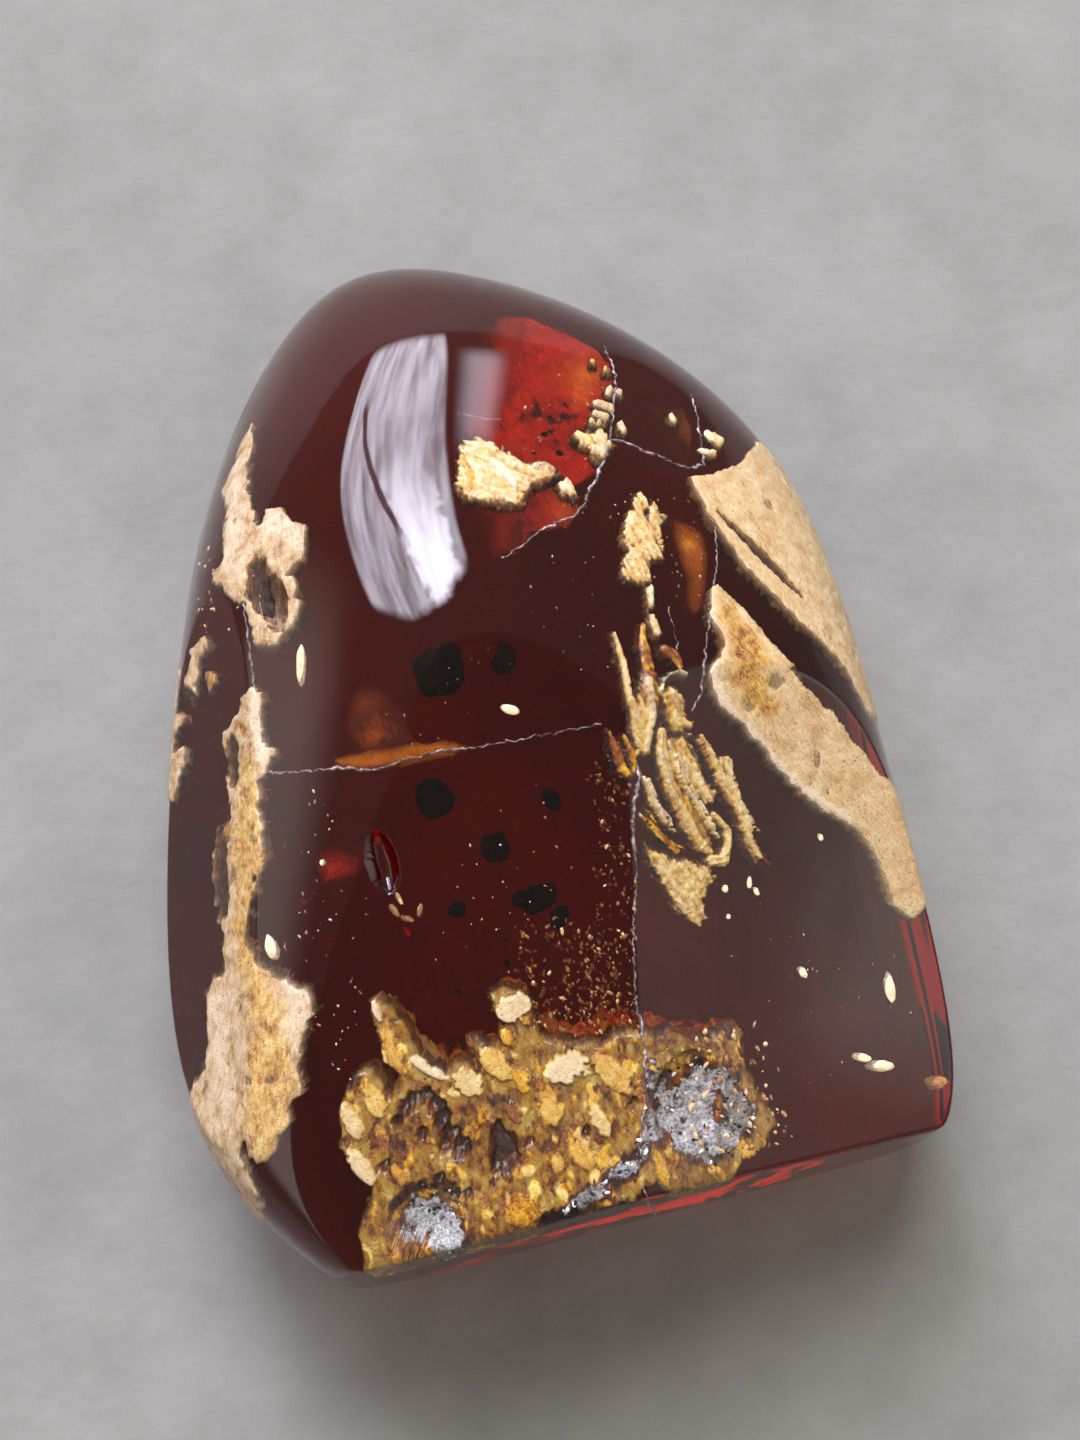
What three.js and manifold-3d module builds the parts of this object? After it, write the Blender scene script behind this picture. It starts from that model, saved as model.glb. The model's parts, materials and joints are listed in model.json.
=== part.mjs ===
// A polished freeform of dark cherry amber, lying on its flat back.
// The resin is one clear body with lapped facets, a sawn end and a domed head. Tan crust and a golden,
// granular matrix, which the resin once flowed round, lie flush in it and are solids of their own.
// Millimetres. +Z is up from the resting back, +Y runs along the piece away from its sawn end.
import * as THREE from 'three';
import { mergeVertices } from 'three/addons/utils/BufferGeometryUtils.js';
import Module from 'manifold-3d';

const wasm = await Module();
wasm.setup();

// Driving dimensions
const HEART = new THREE.Vector3(0.7, -6.4, 12);   // the point that all reaches are measured from
const TO_MIDDLE = [-0.14, -0.4, 0];                   // brings the origin under the middle of the piece
const TUMBLING = 11;                              // higher is crisper: how far tumbling rounded the facets
const SEAM = 0.3;                                 // clear gap between resin and what lies in it
const CRUST_DEPTH = 2.2;
const SHEET_DEPTH = 2.8;
const PLUME_DEPTH = 1.8;
const MATRIX_DEPTH = 7.5;
const WORN_BY = 0.55;                             // softer crust is worn this far below the polish
const RAGGED_BY = 0.14;                           // share of its length that a broken edge wanders
const POLISHED_DETAIL = 12;
const WORN_DETAIL = 16;
const FLOOR_DETAIL = 7;

// Rounded facets of the tumbled lump: the way each one faces and its reach from the heart
const ROUNDED_FACETS = [
  { name: 'right side', faces: [1, -0.06, 0.1], reach: 27.6 },
  { name: 'upper right', faces: [0.84, 0.53, 0.16], reach: 35 },
  { name: 'head right', faces: [0.52, 0.83, 0.12], reach: 42 },
  { name: 'head', faces: [-0.16, 0.98, 0.06], reach: 54.5 },
  { name: 'upper left', faces: [-0.74, 0.66, 0.12], reach: 34 },
  { name: 'left side', faces: [-0.95, 0.3, 0.1], reach: 26.2 },
  { name: 'lower left', faces: [-0.99, -0.12, 0.05], reach: 32.2 },
  { name: 'heel left', faces: [-0.76, -0.65, 0.06], reach: 36.3 },
  { name: 'heel right', faces: [0.66, -0.75, 0.06], reach: 42 },
  { name: 'foot', faces: [0.05, -1, 0], reach: 36 },
  { name: 'crown', faces: [-0.03, -0.1, 1], reach: 20.4 },
  { name: 'left shoulder', faces: [-0.42, 0.12, 0.9], reach: 21.6 },
  { name: 'dome foot', faces: [0.05, 0.18, 0.98], reach: 23.5 },
  { name: 'dome middle', faces: [0.09, 0.33, 0.94], reach: 25.7 },
  { name: 'dome top', faces: [0.14, 0.48, 0.87], reach: 27 },
  { name: 'nose', faces: [0.19, 0.72, 0.67], reach: 36.5 },
  { name: 'nose tip', faces: [0.24, 0.9, 0.37], reach: 46 },
  { name: 'brow left', faces: [-0.32, 0.42, 0.85], reach: 29.8 },
  { name: 'cheek left', faces: [-0.52, 0.59, 0.62], reach: 30.4 },
  { name: 'brow right', faces: [0.41, 0.19, 0.89], reach: 23 },
  { name: 'cheek right', faces: [0.71, 0.23, 0.66], reach: 30 },
  { name: 'back', faces: [0, 0, -1], reach: 12.4 },
  { name: 'back right', faces: [0.75, 0, -0.66], reach: 25 },
  { name: 'back left', faces: [-0.75, 0.05, -0.66], reach: 25 },
  { name: 'back head', faces: [0, 0.66, -0.75], reach: 41.5 },
];

// Lapped flats, each ground off the lump down to a plane through one point
const LAPPED_FLATS = [
  { name: 'resting back', faces: [0, 0, -1], through: [0, 0, 0] },
  { name: 'sawn end', faces: [-0.03, -1, 0.07], through: [4.7, -36.9, 14] },
  { name: 'right facet', faces: [0.354, -0.216, 1], through: [5.9, -17.4, 29.3] },
  { name: 'front facet', faces: [-0.03, -0.125, 1], through: [5.9, -17.4, 29.3] },
  { name: 'table above the ledge', faces: [-0.0225, -0.006, 1], through: [-6.5, -2.3, 30.8] },
  { name: 'left facet', faces: [-0.75, 0.2, 0.62], through: [-17.9, 3, 24.3] },
  { name: 'brow', faces: [0.46, 0.38, 0.8], through: [18, 18.5, 21.7] },
];

function unit(xyz) {
  return new THREE.Vector3(...xyz).normalize();
}

const facets = ROUNDED_FACETS.map((facet) => ({ normal: unit(facet.faces), reach: facet.reach }));
const flats = LAPPED_FLATS.map((flat) => {
  const normal = unit(flat.faces);
  const point = new THREE.Vector3(...flat.through);
  return { normal, point, reach: normal.dot(point.clone().sub(HEART)) };
});

// Distance from the heart to the tumbled lump along a direction
function lumpRadius(direction) {
  let sum = 0;
  for (const { normal, reach } of facets) {
    sum += Math.max(0, normal.dot(direction) / reach) ** TUMBLING;
  }
  return sum ** (-1 / TUMBLING);
}

// The same distance once the flats are lapped
function finishedRadius(direction) {
  let radius = lumpRadius(direction);
  for (const { normal, reach } of flats) {
    const lean = normal.dot(direction);
    if (lean > 0) radius = Math.min(radius, reach / lean);
  }
  return radius;
}

// Low rolling lumps between -1 and 1 for the worn crust
function lumps(direction) {
  const { x, y, z } = direction;
  const broad = Math.sin(17 * x + 5 * y) * Math.sin(19 * y - 4 * z);
  const fine = Math.sin(41 * x - 13 * z + 1) * Math.sin(37 * y + 11 * x);
  return 0.6 * broad + 0.4 * fine;
}

// A closed skin around the heart whose radius is a function of direction
function skin(radiusOf, detail) {
  const geometry = new THREE.IcosahedronGeometry(1, detail);
  const place = geometry.attributes.position;
  const direction = new THREE.Vector3();
  for (let i = 0; i < place.count; i += 1) {
    direction.fromBufferAttribute(place, i).normalize();
    const radius = radiusOf(direction);
    place.setXYZ(i, direction.x * radius, direction.y * radius, direction.z * radius);
  }
  return solid(geometry.translate(HEART.x, HEART.y, HEART.z));
}

function solid(geometry) {
  geometry.deleteAttribute('normal');
  geometry.deleteAttribute('uv');
  const welded = mergeVertices(geometry, 1e-5);
  return new wasm.Manifold(new wasm.Mesh({
    numProp: 3,
    vertProperties: new Float32Array(welded.attributes.position.array),
    triVerts: new Uint32Array(welded.index.array),
  }));
}

// Everything on the outer side of a lapped flat
function groundAway({ normal, point }) {
  const block = new THREE.BoxGeometry(200, 200, 60).translate(0, 0, 30);
  const turn = new THREE.Quaternion().setFromUnitVectors(new THREE.Vector3(0, 0, 1), normal);
  block.applyQuaternion(turn).translate(point.x, point.y, point.z);
  return solid(block);
}

// The outline as it broke: each edge gets a corner near its middle that wanders to one side
function ragged(outline) {
  return outline.flatMap(([x, y], i) => {
    const [nextX, nextY] = outline[(i + 1) % outline.length];
    const wander = RAGGED_BY * Math.sin(7.3 * i + x);
    const middle = 0.5 + 0.15 * Math.sin(3.1 * i + y);
    const midX = x + (nextX - x) * middle + (nextY - y) * wander;
    const midY = y + (nextY - y) * middle - (nextX - x) * wander;
    return [[x, y], [midX, midY]];
  });
}

// The outline moved outwards by a distance at every corner
function grown(outline, by) {
  const count = outline.length;
  const area = outline.reduce((sum, [x, y], i) => {
    const [nextX, nextY] = outline[(i + 1) % count];
    return sum + x * nextY - nextX * y;
  }, 0);
  const side = Math.sign(area);
  return outline.map(([x, y], i) => {
    const [beforeX, beforeY] = outline[(i + count - 1) % count];
    const [afterX, afterY] = outline[(i + 1) % count];
    const arriving = new THREE.Vector2(x - beforeX, y - beforeY).normalize();
    const leaving = new THREE.Vector2(afterX - x, afterY - y).normalize();
    const along = arriving.clone().add(leaving).normalize();
    const miter = by / Math.max(0.5, along.dot(leaving));
    return [x + along.y * side * miter, y - along.x * side * miter];
  });
}

// A long prism of an outline seen from above (x, y), from the right (y, z) or from the sawn end (x, z)
const VIEWS = {
  above: [[1, 0, 0], [0, 1, 0], [0, 0, 1]],
  right: [[0, 1, 0], [0, 0, 1], [1, 0, 0]],
  end: [[1, 0, 0], [0, 0, 1], [0, -1, 0]],
};

function prism(outline, view, from) {
  const shape = new THREE.Shape(outline.map(([a, b]) => new THREE.Vector2(a, b)));
  const geometry = new THREE.ExtrudeGeometry(shape, { depth: 200, bevelEnabled: false });
  geometry.translate(0, 0, from);
  const axes = VIEWS[view].map((axis) => new THREE.Vector3(...axis));
  return solid(geometry.applyMatrix4(new THREE.Matrix4().makeBasis(...axes)));
}

// A round hollow or nodule with three radii
function lens(at, radii) {
  const geometry = new THREE.IcosahedronGeometry(1, 4).scale(...radii);
  return solid(geometry.translate(...at));
}

// What lies in the resin: outlines in one or two views, and how deep each goes below the surface
const INLAYS = [
  {
    name: 'left_crust_upper',
    depth: CRUST_DEPTH,
    above: [[-12, 22], [-10, 22.5], [-9.5, 20], [-10, 17.5], [-8.5, 15.5], [-10, 12], [-11.5, 8],
      [-13.5, 8.5], [-13.5, 11.5], [-15.5, 14], [-17.5, 16.5], [-16, 20]],
    right: [[24, 40], [23, 17], [17, 15.5], [12, 19], [7, 23], [6, 40]],
  },
  {
    name: 'left_crust_lower',
    depth: CRUST_DEPTH,
    above: [[-16, 5.5], [-15.5, 1.5], [-17, -2.5], [-17.5, -6], [-19.5, -11], [-19.5, -13.5],
      [-17.5, -16], [-17.5, -19], [-18.5, -20.5], [-19.5, -24], [-22, -26], [-24, -29], [-29, -28],
      [-31, -22], [-29, -18.5], [-25, -17.5], [-24.5, -14.5], [-23, -12], [-21.5, -8], [-21, -3.5],
      [-19.2, -1], [-18.2, 4]],
    right: [[-31, 40], [-29, 16], [-25, 10], [-20, 8.5], [-17, 14], [-10, 19], [6, 20], [8, 40]],
  },
  {
    name: 'left_crust_side',
    depth: CRUST_DEPTH,
    above: [[-36, -1], [-15, -1], [-15, 17], [-36, 17]],
    right: [[12.5, 17], [12, 21], [10, 22.3], [8.8, 21.8], [6.5, 21.3], [5, 20.2], [2.6, 20.2],
      [0.8, 18.9], [1.8, 16.5], [3.7, 17.2], [5.5, 14.5], [8, 13.5], [10.5, 14.5]],
  },
  {
    name: 'right_crust_upper',
    depth: SHEET_DEPTH,
    above: [[19, 12.5], [21.3, 12.5], [23.5, 13.3], [26, 16], [36, 15], [36, -9], [26.6, -7.5],
      [25.5, -3.4], [23.4, 0], [21.5, 3.4], [20.4, 6], [19.5, 8.5], [19, 11]],
    right: [[17, 40], [15.5, 15], [12, 9.5], [7, 8], [3, 6.5], [-2, 9], [-5, 13.5], [-9, 16],
      [-13, 20], [-14, 40]],
  },
  {
    name: 'right_crust_lower',
    depth: SHEET_DEPTH,
    above: [[18.1, 4.2], [19, 2.8], [20.3, 0], [21.6, -2.5], [23, -5.2], [24.4, -9], [26, -12],
      [29, -16], [29, -20], [25.5, -22.5], [24.3, -21], [24, -17], [22.4, -14.6], [19.8, -12],
      [18.6, -9.5], [17.2, -6.6], [15.6, -4.5], [15.7, -2.4], [17.3, -0.7], [17, 1.8]],
    right: [[5, 40], [4, 20], [-8, 20], [-12, 17], [-15, 12], [-19, 9.5], [-22, 13], [-24, 18], [-25, 40]],
  },
  {
    name: 'plume',
    depth: PLUME_DEPTH,
    above: [[15, 11.9], [15.6, 10], [15.2, 7], [14, 4.8], [13.7, 1.9], [13.6, -1.7],
      [14, -3.5], [13.8, -6.9], [14.7, -7.8], [15.7, -11.7], [16.2, -16], [15.3, -16.6],
      [13.9, -15.7], [12.2, -16.4], [10, -18.8], [8.4, -15.6], [8.3, -12.1], [8.7, -9.4],
      [8.2, -6.1], [9.6, -2], [10.4, 0.9], [12, 2.2], [12.6, 4.3], [11.9, 6.1], [13.1, 9.8]],
  },
  {
    name: 'chip_crust',
    depth: CRUST_DEPTH,
    above: [[16.3, 25.8], [16.9, 23.5], [16.1, 19.3], [14.6, 16.2], [13.1, 13.1], [11.4, 11.1],
      [9.7, 10.7], [8.9, 12], [6.5, 12.8], [4.8, 12.8], [2.6, 14.9], [2.7, 17], [4.2, 18.3],
      [6.2, 17.3], [9, 15.3], [10.8, 13.9], [12.1, 14.1], [13.2, 16.5], [14.5, 19.8], [15.2, 24.3]],
  },
  {
    name: 'foot_matrix',
    depth: MATRIX_DEPTH,
    above: [[-13.2, -18], [-12, -21.6], [-7.5, -23.5], [-4.2, -20.5], [-1.2, -23.8], [3.9, -25.8],
      [8.2, -25.8], [11.2, -26.2], [10.6, -30], [12.2, -33.4], [11.5, -42], [-20.5, -42],
      [-18.8, -34], [-16.3, -30.8], [-18.1, -27.1], [-17, -23]],
    end: [[-24, 40], [-21, 19], [-17.5, 14.5], [-12, 16.5], [-7, 12.5], [-1, 15], [5, 17.5],
      [11, 16], [15, 21], [16, 40]],
  },
];

// Hollows left open at the polished surface
const PITS = [
  { name: 'oval pit', at: [-9.7, -9.1, 30.1], radii: [1.1, 2.3, 1.3] },
  { name: 'resin pit', at: [-12.2, 11.4, 26.7], radii: [1.1, 2.6, 1.2] },
  { name: 'sparkle pit', at: [-13.5, -33.4, 27.4], radii: [3, 3.2, 1.9] },
  { name: 'ridge hollow', at: [7, -30.6, 26.9], radii: [3.6, 3.8, 1.6] },
];

// The room that an inlay takes up, grown on all its buried sides by a distance
function region(inlay, by) {
  let shape = prism(grown(ragged(inlay.above), by), 'above', HEART.z - 6);
  for (const view of ['right', 'end']) {
    if (inlay[view]) shape = shape.intersect(prism(grown(ragged(inlay[view]), by), view, -100));
  }
  const floorRadius = (direction) => finishedRadius(direction) - inlay.depth - by;
  return shape.subtract(skin(floorRadius, FLOOR_DETAIL));
}

// The whole stone as polished, before anything is told apart in it
function makeBlank() {
  const lump = skin(lumpRadius, POLISHED_DETAIL);
  return flats.reduce((stone, flat) => stone.subtract(groundAway(flat)), lump);
}

// The lumpy surface that crust and matrix were left with
function makeWornSkin() {
  const wornRadius = (direction) => finishedRadius(direction) - WORN_BY * (1 - lumps(direction)) / 2;
  return skin(wornRadius, WORN_DETAIL);
}

function makeNode(manifold, name, material) {
  const { vertProperties, triVerts } = manifold.getMesh();
  const geometry = new THREE.BufferGeometry();
  geometry.setAttribute('position', new THREE.BufferAttribute(new Float32Array(vertProperties), 3));
  geometry.setIndex(new THREE.BufferAttribute(new Uint32Array(triVerts), 1));
  geometry.translate(...TO_MIDDLE);
  geometry.computeVertexNormals();
  const mesh = new THREE.Mesh(geometry, material);
  mesh.name = name;
  return mesh;
}

const group = new THREE.Group();
group.name = 'amber_freeform';

const blank = makeBlank();
const worn = makeWornSkin();
const pits = PITS.map(({ at, radii }) => lens(at, radii));

let resin = blank;
for (const inlay of INLAYS) {
  resin = resin.subtract(region(inlay, SEAM));
}
for (const pit of pits) {
  resin = resin.subtract(pit);
}
group.add(makeNode(resin, 'amber_body', new THREE.MeshStandardMaterial({
  color: 0x5a1410, roughness: 0.08, metalness: 0,
})));

for (const inlay of INLAYS) {
  let piece = blank.intersect(worn).intersect(region(inlay, 0));
  for (const pit of pits) {
    piece = piece.subtract(pit);
  }
  const golden = inlay.name === 'foot_matrix';
  group.add(makeNode(piece, inlay.name, new THREE.MeshStandardMaterial({
    color: golden ? 0xb48636 : 0xd2ae76, roughness: golden ? 0.55 : 0.85, metalness: 0,
  })));
}

export default group;
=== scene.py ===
"""A polished piece of dark cherry amber with tan crust and golden matrix, lying on its flat back."""
import bpy
import math
import random
import numpy as np
from mathutils import Matrix, Vector, noise
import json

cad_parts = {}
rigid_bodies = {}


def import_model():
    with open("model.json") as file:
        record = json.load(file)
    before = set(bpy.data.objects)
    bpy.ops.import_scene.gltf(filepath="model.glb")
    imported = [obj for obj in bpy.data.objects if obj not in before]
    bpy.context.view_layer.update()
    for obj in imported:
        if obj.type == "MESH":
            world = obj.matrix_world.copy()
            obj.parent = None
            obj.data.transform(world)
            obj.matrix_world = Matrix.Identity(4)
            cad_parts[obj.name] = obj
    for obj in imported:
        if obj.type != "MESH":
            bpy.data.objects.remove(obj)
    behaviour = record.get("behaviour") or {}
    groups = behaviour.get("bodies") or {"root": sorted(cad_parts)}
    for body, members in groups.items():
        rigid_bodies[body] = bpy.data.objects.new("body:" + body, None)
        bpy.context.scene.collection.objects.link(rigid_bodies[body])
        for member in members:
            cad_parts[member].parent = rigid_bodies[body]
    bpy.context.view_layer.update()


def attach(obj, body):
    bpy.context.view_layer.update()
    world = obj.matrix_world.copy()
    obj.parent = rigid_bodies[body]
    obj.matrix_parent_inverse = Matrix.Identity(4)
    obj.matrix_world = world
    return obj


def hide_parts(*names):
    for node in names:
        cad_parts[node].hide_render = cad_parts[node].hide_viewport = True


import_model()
MM = 0.001


# The clear resin: one lump of cherry amber, tumbled round and then lapped to seven flats, with the
# rims of the flats barely softened by the last polish. Shape as in the solids: each rounded facet has
# the way it faces and its reach from the heart of the piece, each flat a point that it runs through.
HEART = np.array([0.7, -6.4, 12.0])
TO_MIDDLE = np.array([-0.14, -0.4, 0])
TUMBLING = 11
ROUNDED_FACETS = [
    ((1, -0.06, 0.1), 27.6), ((0.84, 0.53, 0.16), 35), ((0.52, 0.83, 0.12), 42),
    ((-0.16, 0.98, 0.06), 54.5), ((-0.74, 0.66, 0.12), 34), ((-0.95, 0.3, 0.1), 26.2),
    ((-0.99, -0.12, 0.05), 32.2), ((-0.76, -0.65, 0.06), 36.3), ((0.66, -0.75, 0.06), 42),
    ((0.05, -1, 0), 36), ((-0.03, -0.1, 1), 20.4), ((-0.42, 0.12, 0.9), 21.6),
    ((0.05, 0.18, 0.98), 23.5), ((0.09, 0.33, 0.94), 25.7), ((0.14, 0.48, 0.87), 27),
    ((0.19, 0.72, 0.67), 36.5), ((0.24, 0.9, 0.37), 46), ((-0.32, 0.42, 0.85), 29.8),
    ((-0.52, 0.59, 0.62), 30.4), ((0.41, 0.19, 0.89), 23), ((0.71, 0.23, 0.66), 30),
    ((0, 0, -1), 12.4), ((0.75, 0, -0.66), 25), ((-0.75, 0.05, -0.66), 25),
    ((0, 0.66, -0.75), 41.5),
]
TOP_FLATS = [
    ((0.354, -0.216, 1), (5.9, -17.4, 29.3)),
    ((-0.03, -0.125, 1), (5.9, -17.4, 29.3)),
    ((-0.0225, -0.006, 1), (-6.5, -2.3, 30.8)),
    ((-0.75, 0.2, 0.62), (-17.9, 3, 24.3)),
    ((0.46, 0.38, 0.8), (18, 18.5, 21.7)),
]
SAWN_END = ((-0.03, -1, 0.07), (4.7, -36.9, 14))
RESTING_BACK = ((0, 0, -1), (0, 0, 0))
TOP_RIMS = 900        # how crisp the rims are: the top flats are the last ones lapped
SAWN_RIM = 110
BACK_RIM = 60
PITS = [
    ((-9.7, -9.1, 30.1), (1.1, 2.3, 1.3)),
    ((-12.2, 11.4, 26.7), (1.1, 2.6, 1.2)),
    ((-13.5, -33.4, 27.4), (3, 3.2, 1.9)),
    ((7, -30.6, 26.9), (3.6, 3.8, 1.6)),
]


def unit(rows):
    rows = np.asarray(rows, float)
    return rows / np.linalg.norm(rows, axis=-1, keepdims=True)


def nearness(directions, flat):
    """How soon a ray from the heart meets the flat, as one over the distance."""
    normal, through = unit(flat[0]), np.array(flat[1], float)
    return np.clip(directions @ normal, 0, None) / ((through - HEART) @ normal)


def soft_first(parts, crispness):
    """The nearest of several surfaces along each ray, with the rims between them softened."""
    parts = np.maximum(np.array(parts), 1e-9)
    most = parts.max(0)
    return most * ((parts / most) ** crispness).sum(0) ** (1 / crispness)


def stone_radius(directions):
    """Distance from the heart to the polished surface, before any pit."""
    facing = unit([normal for normal, _ in ROUNDED_FACETS])
    reach = np.array([reach for _, reach in ROUNDED_FACETS])
    lump = (((np.clip(directions @ facing.T, 0, None) / reach) ** TUMBLING).sum(-1)) ** (1 / TUMBLING)
    top = soft_first([lump] + [nearness(directions, flat) for flat in TOP_FLATS], TOP_RIMS)
    sawn = soft_first([top, nearness(directions, SAWN_END)], SAWN_RIM)
    return 1 / soft_first([sawn, nearness(directions, RESTING_BACK)], BACK_RIM)


def pitted(directions, radius):
    """The radius with the open pits taken out, and which pit each ray falls in."""
    which = np.zeros(len(directions), int)
    for number, (at, radii) in enumerate(PITS, 1):
        start = (HEART - np.array(at)) / np.array(radii)
        along = directions / np.array(radii)
        a = (along * along).sum(-1)
        b = (along @ start)
        c = start @ start - 1
        root = b * b - a * c
        deep = np.sqrt(np.clip(root, 0, None))
        near, far = (-b - deep) / a, (-b + deep) / a
        inside = (root > 0) & (near < radius) & (radius < far)
        radius = np.where(inside, near, radius)
        which = np.where(inside, number, which)
    return radius, which


def face_of_stone(directions):
    """A number for the facet, flat or pit that each ray leaves through."""
    parts = [1 / stone_radius(directions) * 0.9985]
    parts += [nearness(directions, flat) for flat in TOP_FLATS + [SAWN_END, RESTING_BACK]]
    _, pit = pitted(directions, stone_radius(directions))
    return np.argmax(np.array(parts), 0) + 20 * pit


def places(mesh):
    flat = np.empty(len(mesh.vertices) * 3)
    mesh.vertices.foreach_get("co", flat)
    return flat.reshape(-1, 3)


def move_to(mesh, rows):
    mesh.vertices.foreach_set("co", np.asarray(rows, float).ravel())
    mesh.update()


def start_piece(name):
    """Names the primitive that was just added, alone in the selection."""
    piece = bpy.context.object
    piece.name = name
    piece.data.name = name
    return piece


def select_faces(piece, chosen):
    """Selects faces by number, in object mode, then opens the piece in edit mode."""
    bpy.ops.object.mode_set(mode="EDIT")
    bpy.ops.mesh.select_mode(type="FACE")
    bpy.ops.mesh.select_all(action="DESELECT")
    bpy.ops.object.mode_set(mode="OBJECT")
    piece.data.polygons.foreach_set("select", np.asarray(chosen, bool))
    bpy.ops.object.mode_set(mode="EDIT")


def face_corners(mesh):
    """Three corners of each triangle."""
    corners = np.empty(len(mesh.loops), int)
    mesh.loops.foreach_get("vertex_index", corners)
    return corners.reshape(-1, 3)


bpy.ops.object.select_all(action="DESELECT")
bpy.ops.mesh.primitive_ico_sphere_add(subdivisions=7, radius=1)
amber = start_piece("amber")
for finer in range(2):
    directions = unit(places(amber.data))
    corners = face_corners(amber.data)
    number = face_of_stone(directions)[corners]
    on_rim = (number != number[:, :1]).any(1)
    select_faces(amber, on_rim)
    bpy.ops.mesh.select_more()
    bpy.ops.mesh.subdivide(number_cuts=1)
    bpy.ops.mesh.select_all(action="SELECT")
    bpy.ops.mesh.quads_convert_to_tris()
    bpy.ops.object.mode_set(mode="OBJECT")
directions = unit(places(amber.data))
radius, _ = pitted(directions, stone_radius(directions))
move_to(amber.data, (HEART + TO_MIDDLE + directions * radius[:, None]) * MM)
bpy.ops.object.shade_smooth()


class Wire:
    """One socket of a material, with Python's arithmetic on it."""

    def __init__(self, tree, socket=None):
        self.tree = tree
        self.socket = socket

    def node(self, kind, settings=None, values=None, out=0):
        """Adds a node: its settings first, then the values or links of its sockets."""
        made = self.tree.nodes.new(kind)
        for key, value in (settings or {}).items():
            if key == "stops":
                ramp = made.color_ramp
                while len(ramp.elements) < len(value):
                    ramp.elements.new(0.5)
                for element, (place, colour) in zip(ramp.elements, value):
                    element.position = place
                    element.color = (*colour, 1) if len(colour) == 3 else colour
            else:
                setattr(made, key, value)
        for key, value in (values or {}).items():
            target = made.inputs[key]
            if isinstance(value, Wire):
                self.tree.links.new(value.socket, target)
            elif isinstance(value, tuple) and len(value) == 3 and target.type == "RGBA":
                target.default_value = (*value, 1)
            else:
                target.default_value = value
        return Wire(self.tree, made.outputs[out])

    def maths(self, operation, first, second=0.0, clamp=False):
        settings = {"operation": operation, "use_clamp": clamp}
        return self.node("ShaderNodeMath", settings, {0: first, 1: second})

    def __add__(self, other):
        return self.maths("ADD", self, other)

    __radd__ = __add__

    def __sub__(self, other):
        return self.maths("SUBTRACT", self, other)

    def __rsub__(self, other):
        return self.maths("SUBTRACT", other, self)

    def __mul__(self, other):
        return self.maths("MULTIPLY", self, other)

    __rmul__ = __mul__

    def __pow__(self, other):
        return self.maths("POWER", self, other)

    def noise(self, scale, detail=4, roughness=0.55, distortion=0.0):
        """Noise on this position, between 0 and 1."""
        return self.node("ShaderNodeTexNoise", None, {
            "Vector": self, "Scale": scale, "Detail": detail,
            "Roughness": roughness, "Distortion": distortion}, out=0)

    def cells(self, scale, feature="F1", out="Distance"):
        return self.node("ShaderNodeTexVoronoi", {"feature": feature}, {
            "Vector": self, "Scale": scale}, out=out)

    def stretched(self, scale, turn=(0, 0, 0)):
        """This position turned and then squeezed along its axes."""
        return self.node("ShaderNodeMapping", {"vector_type": "TEXTURE"}, {
            "Vector": self, "Rotation": turn, "Scale": scale})

    def between(self, low, high):
        """Zero below low, one above high, smooth between."""
        return self.node("ShaderNodeMapRange", {"interpolation_type": "SMOOTHSTEP"}, {
            "Value": self, "From Min": low, "From Max": high, "To Min": 0.0, "To Max": 1.0})

    def ramp(self, *stops):
        return self.node("ShaderNodeValToRGB", {"stops": stops}, {0: self})

    def mix(self, first, second):
        """The first colour where this is 0 and the second where it is 1."""
        return self.node("ShaderNodeMix", {"data_type": "RGBA"}, {0: self, 6: first, 7: second}, out=2)

    def bump(self, distance, strength=1.0, under=None):
        values = {"Height": self, "Distance": distance, "Strength": strength}
        if under is not None:
            values["Normal"] = under
        return self.node("ShaderNodeBump", None, values)


def new_material(name):
    """An empty material: its position wire and its output node."""
    material = bpy.data.materials.new(name)
    material.use_nodes = True
    tree = material.node_tree
    tree.nodes.clear()
    output = tree.nodes.new("ShaderNodeOutputMaterial")
    place = Wire(tree).node("ShaderNodeTexCoord", out="Object")
    return material, place, output


def finish_surface(place, output, values):
    shader = place.node("ShaderNodeBsdfPrincipled", None, values)
    place.tree.links.new(shader.socket, output.inputs["Surface"])


# Light through 30 mm of this resin comes out cherry red, and through a thin edge orange
RESIN_SOAKS_UP = (27, 115, 215)     # share of light lost per metre, red, green and blue
RESIN_DENSITY = 240


def resin_material():
    material, place, output = new_material("polished cherry resin")
    waves = place.noise(70, 2)
    smear = place.noise(140, 3).between(0.5, 0.75)
    toward_shoulder = place.node("ShaderNodeVectorMath", {"operation": "DOT_PRODUCT"}, {
        0: place, 1: (-0.5, 0.5, -0.7)}, out="Value")
    scuffed = toward_shoulder.between(0.0, 0.009) * place.noise(90, 3).between(0.3, 0.7)
    finish_surface(place, output, {
        "Base Color": place.noise(60, 2).mix((1.0, 0.97, 0.94), (1.0, 0.93, 0.88)),
        "Roughness": smear * 0.03 + 0.004 + scuffed * 0.26,
        "IOR": 1.54,
        "Transmission Weight": 1.0,
        "Normal": waves.bump(0.0004, 0.1),
    })
    keeps = tuple(1 - loss / RESIN_DENSITY for loss in RESIN_SOAKS_UP)
    volume = place.node("ShaderNodeVolumeAbsorption", None, {"Color": keeps, "Density": RESIN_DENSITY})
    place.tree.links.new(volume.socket, output.inputs["Volume"])
    return material


amber.data.materials.append(resin_material())
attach(amber, "root")
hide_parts("amber_body")


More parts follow.
